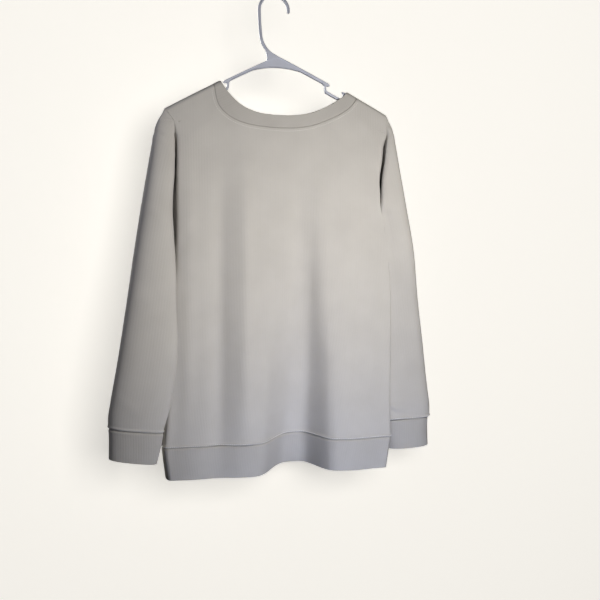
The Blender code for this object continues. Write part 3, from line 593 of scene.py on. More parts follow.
    def sharp_swing(self, folds: Sequence[Fold], x: Array, height: Array | float) -> Array:
        """Sum of the swings of several folds towards +Y.

        Args:
            folds: the folds.
            x: places across the body.
            height: their heights.

        Returns:
            The swing in y at each point.
        """
        total = np.zeros(np.broadcast(x, height).shape)
        for fold in folds:
            span = fold.start - self.hem
            grown = np.clip((fold.start - height) / span, 0.0, 1.0)
            left = fold.left_foot + fold.left_in * (1.0 - grown)
            right = fold.right_foot + fold.right_in * (1.0 - grown)
            rise = smooth((x - left) / (fold.left_top - fold.left_foot))
            drop = smooth((right - x) / (fold.right_foot - fold.right_top))
            total = total + fold.swing * grown**fold.growth * np.minimum(rise, drop)
        return total

    def panel_y(self, x: Array, height: Array, face: Face) -> Array:
        """y of the middle of a panel's wall.

        Args:
            x: places across the body.
            height: their heights.
            face: the panel.

        Returns:
            y at each point.
        """
        back = face is Face.BACK
        left = self.edge_depth(self.side(height, -1), height, back)
        right = self.edge_depth(self.side(height, 1), height, back)
        edge = np.where(x < self.arm.middle, left, right)
        turn = self.side_turn(x, height)
        depth = blend(edge, self.open_depth(x, height, back), turn)
        own = self.swing(BACK_FOLDS if back else FRONT_FOLDS, x, height)
        moved = (self.swing(COMMON_FOLDS, x, height) + own) * turn
        return moved - depth if back else moved + np.maximum(depth, self.edge_gap / 2)

    def hem_lift(self, x: Array) -> Array:
        """Rise of the hem where the folds swing the cloth out."""
        return self.cloth_lift * self.swing(COMMON_FOLDS, x, self.hem)

    def hem_shares(self, count: int, face: Face) -> Array:
        """Shares of the flat width at the hem that cut the cloth there into equal lengths.

        Args:
            count: how many points to place.
            face: the panel.

        Returns:
            Shares from 0 at the left to 1 at the right.
        """
        x = np.linspace(*self.hem_span(), self.samples)
        y = self.panel_y(x, np.full_like(x, self.hem_seam), face)
        lengths = np.concatenate([[0.0], np.cumsum(np.hypot(np.diff(x), np.diff(y)))])
        wanted = np.linspace(0.0, lengths[-1], count)
        return np.interp(wanted, lengths, np.linspace(0.0, 1.0, self.samples))

    def hem_span(self, height: Array | float | None = None) -> tuple[Array, Array]:
        """Flat part of the body at a height, from its left to its right side."""
        at = self.hem_seam if height is None else height
        return self.side(at, -1) + self.side_round, self.side(at, 1) - self.side_round

    def row_x(self, height: Array, shares: Array) -> Array:
        """x of rows of the body's cloth, whose columns are close together at its sides.

        Args:
            height: heights of the rows, in a column.
            shares: where the points between the sides lie, in a row.

        Returns:
            One row of x for each height.
        """
        left = self.side(height, -1) + SIDE_COLUMNS
        right = self.side(height, 1) - SIDE_COLUMNS[::-1]
        return np.concatenate([left, blend(*self.hem_span(height), shares), right], axis=1)

    def crest_falls(self) -> Array:
        """Falls of the cloth's rows over the arms and just below them."""
        turns = np.radians(np.arange(0.0, 90.1, self.crest_turn))
        return np.concatenate([self.fold_over * (1.0 - np.cos(turns)), self.crest_drops])


class Neckline:
    """Seam and free edge of the neckband on one face, on smooth curves through its rows."""

    def __init__(self, rows: Sequence[NeckRow], arm: ArmLine) -> None:
        """Put the rows' open ends on the arm's crest."""
        self.arm = arm
        self.seams = [self.point(row.seam_x, row.seam_z) for row in rows]
        self.edges = [self.point(row.edge_x, row.edge_z) for row in rows]
        self.last = len(rows) - 1

    def point(self, x: float, height: float | None) -> tuple[float, float]:
        """A point of the table, with None put on the arm."""
        return (x, float(self.arm.cloth_height(x)) if height is None else height)

    def place_of(self, drop: float, hand: int) -> float:
        """Place along the neckline where its seam has fallen by a drop below its end.

        Args:
            drop: how far the place lies below the seam's end.
            hand: end to start from.

        Returns:
            The index of the place, with its fraction.
        """
        points = self.seams if hand < 0 else self.seams[::-1]
        wanted = points[0][1] - drop
        low, high = 0.0, 1.0
        for _ in range(40):
            middle = (low + high) / 2
            if through(points, middle)[1] > wanted:
                low = middle
            else:
                high = middle
        place = (low + high) / 2 if drop > 0.0 else 0.0
        return place if hand < 0 else self.last - place

    def end_drop(self, hand: int) -> float:
        """How far the first row inside the neckline lies below its end."""
        points = self.seams if hand < 0 else self.seams[::-1]
        return points[0][1] - points[1][1]

    def line(self, count: int = 400) -> Array:
        """The seam as a dense line of (x, z)."""
        places = [self.last * step / count for step in range(count + 1)]
        return np.array([through(self.seams, place) for place in places])

    def distance(self, x: Array, z: Array) -> Array:
        """Distance of points from the seam, in the plane of the arms.

        Args:
            x: across.
            z: up.

        Returns:
            Metres, in the shape of x.
        """
        line = self.line()
        start, end = line[:-1], line[1:]
        way = end - start
        place = np.stack([x.ravel(), z.ravel()], axis=1)
        near = np.full(len(place), 1.0)
        for part in range(len(way)):
            offset = place - start[part]
            share = np.clip(offset @ way[part] / (way[part] @ way[part]), 0.0, 1.0)
            near = np.minimum(near, np.hypot(*(offset - share[:, None] * way[part]).T))
        return near.reshape(x.shape)


# ---- Walls of cloth ----
@dataclass(frozen=True)
class SeamProfile:
    """How a sewn edge stands: it rolls in at the seam and rises in a ridge beside it."""

    dip: float
    dip_width: float
    ridge: float
    ridge_at: float
    ridge_width: float

    def relief(self, distance: Array) -> Array:
        """Height of the cloth over its form at a distance from the seam."""
        rolled = self.dip * bell(np.maximum(distance, 0.0), self.dip_width)
        return self.ridge * bell(distance - self.ridge_at, self.ridge_width) - rolled


SERGED_SEAM = SeamProfile(0.0016, 0.0014, 0.0011, 0.0034, 0.0019)
SERGED_BAND = SeamProfile(0.0018, 0.0016, 0.0003, 0.0045, 0.0022)
NECK_SEAM = SeamProfile(0.0006, 0.0009, 0.0001, 0.0032, 0.0016)
NECK_BAND_SEAM = SeamProfile(0.0006, 0.0009, 0.0001, 0.0030, 0.0016)
SIDE_SEAM = SeamProfile(0.0007, 0.0010, 0.0002, 0.0030, 0.0016)

LAP = 0.0034            # seam allowance of a band, folded in behind the sheet above it
LAP_DEPTH = 0.0024      # how far behind that sheet it lies
LAP_RUN = 0.0009        # way over which it sinks there
LAP_RISE = 0.2          # share of the band's own dip that it makes up for
LAP_ROWS = (-LAP, -0.0024, -0.0015, -0.0009, -0.0004)
EDGE_ROUND = 0.0012     # radius of a free edge
SHEET_EDGE = 0.0008     # radius of a sheet's edge inside a seam
SEAM_LIP = 0.0005       # depth behind an armhole's seam in which the cloth keeps its place
PLEAT_REACH = 0.0060    # further depth over which a pleat takes its shape

# Ways from an edge at which rows and columns stand, and those of a panel beside the body's side
FINE = (0.0, 0.0004, 0.0009, 0.0015, 0.0022, 0.0030, 0.0039, 0.0050, 0.0064, 0.0084, 0.0110, 0.0145)
SIDE_COLUMNS = np.array(FINE[:-1])


def edge_share(distance: Array, radius: float = EDGE_ROUND) -> Array:
    """Share of the full thickness at a distance from a free edge, so that the edge is round."""
    inside = 1.0 - np.clip(distance / radius, 0.0, 1.0)
    return np.clip(np.sqrt(np.maximum(1.0 - inside**2, 0.0)), 0.25, 1.0)


@dataclass
class Wall:
    """A sheet as a grid of middle points, which becomes a closed wall.

    points holds rows, columns and 3 numbers, NaN where the sheet is open.  across and down are the
    cloth's own metres, for its UV map.  seam is the distance from the nearest seam.
    """

    points: Array
    across: Array
    down: Array
    seam: Array
    half: Array
    ring: bool
    flip: bool

    def corners(self) -> tuple[Array, Array]:
        """Corners of the grid's cells, as places in the points and in the UV arrays.

        Returns:
            For each cell, the numbers of its corners in the points and in the UV arrays.
        """
        rows, columns = self.points.shape[:2]
        index = np.arange(rows * columns).reshape(rows, columns)
        if self.ring:
            index = closed(index)
        place = np.arange(index.size).reshape(index.shape)
        cells = []
        for grid in (index, place):
            cell = np.stack([grid[:-1, :-1], grid[:-1, 1:], grid[1:, 1:], grid[1:, :-1]], axis=-1)
            cell = cell.reshape(-1, 4)
            cells.append(cell[:, ::-1] if self.flip else cell)
        there = ~np.isnan(self.points[..., 0]).ravel()
        keep = there[cells[0]].all(axis=1)
        return cells[0][keep], cells[1][keep]

    def welded(self) -> tuple[Array, Array, Array]:
        """Points without doubles, the cells' corners in them, and each point's new number.

        Returns:
            The points, the corners of each cell, and a new number for each point of the grid.
        """
        flat = self.points.reshape(-1, 3)
        cells, _ = self.corners()
        used = np.unique(cells)
        keys = np.round(flat[used] / 2e-6).astype(np.int64)
        _, first, inverse = np.unique(keys, axis=0, return_index=True, return_inverse=True)
        number = np.full(len(flat), -1)
        number[used] = inverse.ravel()
        return flat[used][first], number[cells], number

    def normals(self) -> Array:
        """Outward normal at each point of the grid."""
        points, cells, number = self.welded()
        normal = vertex_normals(points, cells)
        return normal[np.maximum(number, 0)].reshape(self.points.shape)

    def move(self, relief: Array) -> None:
        """Move the points along the cloth's own normal."""
        self.points = self.points + self.normals() * relief[..., None]

    def mesh(self, name: str) -> Mesh:
        """The closed wall with its UV map and seam attribute.

        Args:
            name: name of the mesh.

        Returns:
            The mesh.
        """
        points, cells, number = self.welded()
        _, places = self.corners()
        count = len(points)
        normal = vertex_normals(points, cells)
        half = np.zeros(count)
        seam = np.zeros(count)
        known = number >= 0
        half[number[known]] = self.half.ravel()[known]
        seam[number[known]] = self.seam.ravel()[known]
        outer = points + normal * half[:, None]
        inner = points - normal * half[:, None]
        edges = np.stack([cells, np.roll(cells, -1, axis=1)], axis=-1).reshape(-1, 2)
        owners = np.stack([places, np.roll(places, -1, axis=1)], axis=-1).reshape(-1, 2)
        forward = edges[:, 0] * count + edges[:, 1]
        backward = edges[:, 1] * count + edges[:, 0]
        rim = ~np.isin(forward, backward) & (edges[:, 0] != edges[:, 1])
        a, b = edges[rim].T
        pa, pb = owners[rim].T
        sides = np.stack([b, a, a + count, b + count], axis=1)
        faces = np.concatenate([cells, cells[:, ::-1] + count, sides])
        uv_sides = np.stack([pb, pa, pa, pb], axis=1)
        uv_places = np.concatenate([places, places[:, ::-1], uv_sides])
        uv = np.stack([self.across.ravel(), self.down.ravel()], axis=1)[uv_places.ravel()]
        mesh = bpy.data.meshes.new(name)
        loops = faces.size
        mesh.vertices.add(2 * count)
        mesh.loops.add(loops)
        mesh.polygons.add(len(faces))
        mesh.vertices.foreach_set("co", np.concatenate([outer, inner]).astype(np.float32).ravel())
        mesh.loops.foreach_set("vertex_index", faces.astype(np.int32).ravel())
        mesh.polygons.foreach_set("loop_start", np.arange(0, loops, 4, dtype=np.int32))
        mesh.update(calc_edges=True)
        layer = mesh.uv_layers.new(name="cloth")
        layer.data.foreach_set("uv", uv.astype(np.float32).ravel())
        attribute = mesh.attributes.new("seam", "FLOAT", "POINT")
        attribute.data.foreach_set("value", np.concatenate([seam, seam]).astype(np.float32))
        mesh.validate()
        mesh.shade_smooth()
        return mesh


def vertex_normals(points: Array, cells: Array) -> Array:
    """Area-weighted normals of the points of a grid of four-cornered cells.

    Args:
        points: the grid's points.
        cells: four corners of each cell.

    Returns:
        One unit normal for each point.
    """
    diagonal_a = points[cells[:, 2]] - points[cells[:, 0]]
    diagonal_b = points[cells[:, 3]] - points[cells[:, 1]]
    cross = np.cross(diagonal_a, diagonal_b)
    total = np.zeros_like(points)
    for corner in range(4):
        np.add.at(total, cells[:, corner], cross)
    length = np.linalg.norm(total, axis=1, keepdims=True)
    return total / np.maximum(length, 1e-12)


def crease_relief(creases: Sequence[Crease], x: Array, z: Array) -> Array:
    """Height of the listed creases over the form at points of the cloth.

    Args:
        creases: the creases.
        x: places across the body.
        z: their heights.

    Returns:
        The relief at each point.
    """
    total = np.zeros_like(x)
    for crease in creases:
        way = np.array([crease.to_x - crease.from_x, crease.to_z - crease.from_z])
        length = float(np.hypot(*way))
        way = way / length
        along = ((x - crease.from_x) * way[0] + (z - crease.from_z) * way[1]) / length
        aside = (x - crease.from_x) * -way[1] + (z - crease.from_z) * way[0]
        aside = aside - crease.bow * np.sin(np.pi * np.clip(along, 0.0, 1.0))
        ends = smooth((along + 0.12) / 0.42) * smooth((1.12 - along) / 0.42)
        total = total + crease.height * ends * bell(aside, crease.width)
    return total


def undercut(y: Array, edge: Array, face: Array, slope: Array) -> Array:
    """Shift to the right of cloth in a pleat, between its seam at edge and its outer face.

    Args:
        y: depth of the points.
        edge: depth of the seam.
        face: depth of the outer face.
        slope: how steeply the pleat runs in under the cloth.

    Returns:
        The shift in x.
    """
    deep = np.maximum(y - blend(face, edge, 0.25), 0.0)
    return slope * deep * smooth((edge - SEAM_LIP - y) / PLEAT_REACH)


def off_crest(fall: Array) -> Array:
    """Share of a relief that the cloth shows at a fall below the arms' crest."""
    return smooth(fall / 0.006 + 0.15)


def drape_relief(x: Array, z: Array, strength: float) -> Array:
    """Slow uneven ripple of hanging cloth, longer down than across."""
    ripple = np.sin(43.0 * x + 5.1 * z + 0.7) * np.sin(9.3 * z + 14.0 * x + 1.9)
    ripple = ripple + 0.6 * np.sin(71.0 * x - 8.2 * z + 2.4) * np.sin(13.1 * z - 6.0 * x + 0.3)
    return strength * ripple


def running(points: Array, middle: int | None = None) -> Array:
    """Length along each row of points, from its first or a middle column.

    Args:
        points: rows of points.
        middle: column that counts as 0, or None for the first.

    Returns:
        The length at each point.
    """
    step = np.linalg.norm(np.diff(points, axis=1), axis=2)
    length = np.concatenate([np.zeros((len(points), 1)), np.cumsum(step, axis=1)], axis=1)
    return length if middle is None else length - length[:, middle : middle + 1]


def closed(values: Array) -> Array:
    """Rows of a ring, with their first column put once more at their end."""
    return np.concatenate([values, values[:, :1]], axis=1)


def ring_of(back: Array, front: Array) -> Array:
    """Rows that go along the back from left to right and return along the front."""
    return np.concatenate([back, front[:, -2:0:-1]], axis=1)


def spaced(length: float, step: float, fine_start: bool, fine_end: bool) -> Array:
    """Distances from 0 to length, close together at the ends that ask for it.

    Args:
        length: distance to divide.
        step: usual way between two of them.
        fine_start: whether the first ones are close together.
        fine_end: whether the last ones are.

    Returns:
        The distances, with both ends.
    """
    close = np.array([value for value in FINE if value < (length - step) / 2])
    start = close if fine_start else close[:1]
    end = length - (close[::-1] if fine_end else close[:1])
    count = max(int(round((end[0] - start[-1]) / step)), 1)
    middle = np.linspace(start[-1], end[0], count + 1)[1:-1]
    return np.concatenate([start, middle, end])


# ---- Materials ----
def linear(code: str, alpha: float = 1.0) -> tuple[float, float, float, float]:
    """Turn an sRGB hex colour into linear RGBA."""
    parts = [int(code[index : index + 2], 16) / 255.0 for index in (1, 3, 5)]
    turned = [
        part / 12.92 if part <= 0.04045 else ((part + 0.055) / 1.055) ** 2.4 for part in parts
    ]
    return turned[0], turned[1], turned[2], alpha


def feed(tree: NodeTree, node: bpy.types.Node, inputs: dict[str | int, object]) -> None:
    """Set a node's inputs, each to a value or to the output socket that feeds it."""
    for key, value in inputs.items():
        if isinstance(value, bpy.types.NodeSocket):
            tree.links.new(value, node.inputs[key])
        else:
            node.inputs[key].default_value = value


def add_node(
    tree: NodeTree,
    kind: str,
    settings: dict[str, object] | None = None,
    inputs: dict[str | int, object] | None = None,
) -> bpy.types.Node:
    """Add a node with its settings and links.

    Args:
        tree: the tree that gets the node.
        kind: Blender's name of the node.
        settings: the node's own properties.
        inputs: for each input, a value or the output socket that feeds it.

    Returns:
        The new node.
    """
    made = tree.nodes.new(kind)
    for name, value in (settings or {}).items():
        setattr(made, name, value)
    feed(tree, made, inputs or {})
    return made


def new_material(name: str) -> tuple[Material, NodeTree, bpy.types.Node]:
    """A material with its tree and its Principled shader."""
    made = bpy.data.materials.new(name)
    made.use_nodes = True
    tree = made.node_tree
    return made, tree, tree.nodes["Principled BSDF"]


@dataclass(frozen=True)
class KnitFinish:
    """Brushed cotton fleece or rib: matt, with a soft halo of fibres at grazing angles.

    Wales are the knit's upright columns of loops.  Real ones are about 1 mm apart, too fine to
    show, so they are drawn every few millimetres, as faint streaks.
    """

    name: str
    colour: str = "#CCC9C5"
    shade: str = "#BAB7B3"
    # colour of the painted shade inside a seam
    seam_painted_shade: str = "#8F8B86"
    wale: float = 0.0049
    wale_depth: float = 0.00016
    wale_tone: float = 0.07
    fuzz: float = 0.0016
    fuzz_depth: float = 0.00022
    # width of that painted seam shade
    mottle: float = 0.055
    seam_shade_reach: float = 0.0017
    roughness: float = 0.94
    sheen: float = 0.12
    sheen_roughness: float = 0.55

    def build(self) -> Material:
        """Make the material.

        Returns:
            The knit's material.
        """
        made, tree, shader = new_material(self.name)
        uv = add_node(tree, "ShaderNodeUVMap", {"uv_map": "cloth"}).outputs["UV"]
        place = add_node(tree, "ShaderNodeTexCoord").outputs["Object"]
        # The loops' columns, a little uneven, along the cloth's own length
        stretched = add_node(tree, "ShaderNodeMapping", None,
                             {"Vector": uv, "Scale": (1.0, 0.06, 1.0)})
        uneven = add_node(tree, "ShaderNodeTexNoise", {"noise_dimensions": "2D"},
                          {"Vector": stretched.outputs[0], "Scale": 1.0 / (self.wale * 2.2),
                           "Detail": 2.0})
        wave = add_node(tree, "ShaderNodeTexWave", {"wave_type": "BANDS", "bands_direction": "X"},
                        {"Vector": uv, "Scale": math.pi / (10.0 * self.wale), "Distortion": 0.0})
        columns = add_node(tree, "ShaderNodeMath", {"operation": "MULTIPLY"},
                           {0: wave.outputs["Fac"], 1: uneven.outputs["Fac"]}).outputs[0]
        # Broad unevenness of the dye, and fibres that stand up
        cloudy = add_node(tree, "ShaderNodeTexNoise", None,
                          {"Vector": place, "Scale": 1.0 / self.mottle, "Detail": 3.0,
                           "Roughness": 0.5})
        fibres = add_node(tree, "ShaderNodeTexNoise", None,
                          {"Vector": place, "Scale": 1.0 / self.fuzz, "Detail": 3.0,
                           "Roughness": 0.6})
        worn = add_node(tree, "ShaderNodeMapRange", None,
                        {"Value": cloudy.outputs["Fac"], "From Min": 0.3, "From Max": 0.7,
                         "To Min": 0.0, "To Max": 0.30}).outputs[0]
        streak = add_node(tree, "ShaderNodeMath", {"operation": "MULTIPLY_ADD"},
                          {0: columns, 1: self.wale_tone * 2.0, 2: worn}).outputs[0]
        speckle = add_node(tree, "ShaderNodeMath", {"operation": "MULTIPLY_ADD"},
                           {0: fibres.outputs["Fac"], 1: 0.16, 2: streak}).outputs[0]
        cloth = add_node(tree, "ShaderNodeMix", {"data_type": "RGBA"},
                         {"Factor": speckle, 6: linear(self.colour), 7: linear(self.shade)})
        # Painted shade inside a seam: close to the seam line the cloth is mixed towards a darker
        # colour, in place of the shadow in its groove
        seam = add_node(tree, "ShaderNodeAttribute", {"attribute_name": "seam"}).outputs["Fac"]
        close = add_node(tree, "ShaderNodeMapRange", {"interpolation_type": "SMOOTHSTEP"},
                         {"Value": seam, "From Min": 0.0, "From Max": self.seam_shade_reach,
                          "To Min": 0.85, "To Max": 0.0}).outputs[0]
        seam_shaded = add_node(tree, "ShaderNodeMix", {"data_type": "RGBA"},
                          {"Factor": close, 6: cloth.outputs[2], 7: linear(self.seam_painted_shade)})
        fuzzy = add_node(tree, "ShaderNodeBump", None,
                         {"Height": fibres.outputs["Fac"], "Distance": self.fuzz_depth,
                          "Strength": 0.6})
        ribbed = add_node(tree, "ShaderNodeBump", None,
                          {"Height": columns, "Distance": self.wale_depth, "Strength": 0.8,
                           "Normal": fuzzy.outputs[0]})
        feed(tree, shader, {
            "Base Color": seam_shaded.outputs[2], "Normal": ribbed.outputs[0],
            "Roughness": self.roughness, "Specular IOR Level": 0.25, "Sheen Weight": self.sheen,
            "Sheen Roughness": self.sheen_roughness, "Sheen Tint": linear("#E6E2DC"),
        })
        return made


@dataclass(frozen=True)
class ThreadFinish:
    """Spun polyester sewing thread: a little paler than the cloth, with a faint gloss."""

    name: str = "sewing_thread_polyester"
    colour: str = "#F4F2F0"
    shade: str = "#E6E4E3"
    roughness: float = 0.55
    twist: float = 0.0006

    def build(self) -> Material:
        """Make the material.

        Returns:
            The thread's material.
        """
        made, tree, shader = new_material(self.name)
        place = add_node(tree, "ShaderNodeTexCoord").outputs["Object"]
        twist = add_node(tree, "ShaderNodeTexNoise", None,
                         {"Vector": place, "Scale": 1.0 / self.twist})
        tone = add_node(tree, "ShaderNodeMix", {"data_type": "RGBA"},
                        {"Factor": twist.outputs["Fac"], 6: linear(self.colour),
                         7: linear(self.shade)})
        feed(tree, shader, {"Base Color": tone.outputs[2], "Roughness": self.roughness})
        return made


@dataclass(frozen=True)
class PlasticFinish:
    """Injection-moulded polystyrene: pale, a little glossy, softly waved as it cooled."""

    name: str = "polystyrene_moulded"
    colour: str = "#CBD0DF"
    worn: str = "#BFC3D3"
    roughness: float = 0.34
    wave: float = 0.018
    scuff: float = 0.0030

    def build(self) -> Material:
        """Make the material.

        Returns:
            The hanger's material.
        """
        made, tree, shader = new_material(self.name)
        place = add_node(tree, "ShaderNodeTexCoord").outputs["Object"]
        flow = add_node(tree, "ShaderNodeTexNoise", None,
                        {"Vector": place, "Scale": 1.0 / self.wave, "Detail": 2.0})
        scuffs = add_node(tree, "ShaderNodeTexNoise", None,
                          {"Vector": place, "Scale": 1.0 / self.scuff, "Detail": 4.0,
                           "Roughness": 0.7})
        tone = add_node(tree, "ShaderNodeMix", {"data_type": "RGBA"},
                        {"Factor": flow.outputs["Fac"], 6: linear(self.colour),
                         7: linear(self.worn)})
        matt = add_node(tree, "ShaderNodeMapRange", None,
                        {"Value": scuffs.outputs["Fac"], "From Min": 0.3, "From Max": 0.7,
                         "To Min": self.roughness - 0.06, "To Max": self.roughness + 0.10})
        bump = add_node(tree, "ShaderNodeBump", None,
                        {"Height": flow.outputs["Fac"], "Distance": 0.0003, "Strength": 0.35})
        feed(tree, shader, {"Base Color": tone.outputs[2], "Roughness": matt.outputs[0],
                            "IOR": 1.59, "Normal": bump.outputs[0]})
        return made


@dataclass(frozen=True)
class BackdropFinish:
    """Matt white paper: part of its brightness is its own, so that it stays even, like lit paper.

    It sends less light to the garment than it shows, as paper further away would.  Its rear is
    clear, so that it hides nothing when the garment is seen from behind.
    """

    name: str
    colour: str = "#F7F5F0"
    returned: str = "#6B6A68"
    glow: float = 0.55

    def build(self) -> Material:
        """Make the material.

        Returns:
            The paper's material.
        """
        made, tree, shader = new_material(self.name)
        seen = add_node(tree, "ShaderNodeLightPath").outputs["Is Camera Ray"]
        tone = add_node(tree, "ShaderNodeMix", {"data_type": "RGBA"},
                        {"Factor": seen, 6: linear(self.returned), 7: linear(self.colour)})
        own = add_node(tree, "ShaderNodeMath", {"operation": "MULTIPLY"}, {0: seen, 1: self.glow})
        feed(tree, shader, {
            "Base Color": tone.outputs[2], "Roughness": 1.0, "Specular IOR Level": 0.0,
            "Emission Color": linear(self.colour), "Emission Strength": own.outputs[0],
        })
        facing = add_node(tree, "ShaderNodeNewGeometry").outputs["Backfacing"]
        clear = add_node(tree, "ShaderNodeBsdfTransparent").outputs[0]
        mixed = add_node(tree, "ShaderNodeMixShader", None,
                         {0: facing, 1: shader.outputs[0], 2: clear})
        feed(tree, tree.nodes["Material Output"], {"Surface": mixed.outputs[0]})
        return made


@dataclass
class Finishes:
    """Every finish of the object, made once."""

    fleece: Material
    rib: Material
    thread: Material
    plastic: Material

    @staticmethod
    def make() -> Finishes:
        """Build the materials.

        Returns:
            The set of finished materials.
        """
        return Finishes(
            fleece=KnitFinish("cotton_fleece_brushed").build(),
            rib=KnitFinish("cotton_rib_knit", colour="#C4C1BD", shade="#B0ADA9", wale=0.0044,
                           wale_depth=0.00030, wale_tone=0.14).build(),
            thread=ThreadFinish().build(),
            plastic=PlasticFinish().build(),
        )


# ---- Pieces ----
class Slot(Enum):
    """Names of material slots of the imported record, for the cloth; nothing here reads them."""

    FLEECE = "fleece"
    RIB = "rib_knit"


@dataclass(frozen=True)
class Cut:
    """The flat size that a sheet is cut to, and its area."""

    width: float
    length: float
    area: float


def new_object(name: str, data: bpy.types.ID) -> Object:
    """Put a mesh, lamp or camera in the scene as an object at the origin."""
    made = bpy.data.objects.new(name, data)
    bpy.context.scene.collection.objects.link(made)
    return made


def place_piece(name: str, mesh: Mesh, look: Material) -> Object:
    """Put a mesh in the scene as an object at the origin with one material."""
    mesh.materials.clear()
    mesh.materials.append(look)
    return new_object(name, mesh)


def hand_over(piece: Object, node: str | None) -> None:
    """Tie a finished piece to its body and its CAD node.

    Args:
        piece: the piece.
        node: the CAD node that it replaces, if any.
    """
    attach(piece, "root")
    if node is not None:
        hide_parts(node)
    LOG.info("%s: %d faces", piece.name, len(piece.data.polygons))


class SewnPiece:
    """What every sewn piece does once its wall is known."""

    cut: Cut
    node: str

    def wall(self) -> Wall:
        """The piece's middle surface, which each kind of piece lays in its own way."""
        raise NotImplementedError

    def sew(self, name: str, slot: Slot, rests_on: list[str], look: Material) -> Object:
        """Args:
            name: name of the piece.
            slot: its material slot; not used.
            rests_on: names of the pieces that carry it; not used.
            look: its material.

        Returns:
            The finished piece.
        """
        piece = place_piece(name, self.wall().mesh(self.node), look)
        hand_over(piece, self.node)
        return piece


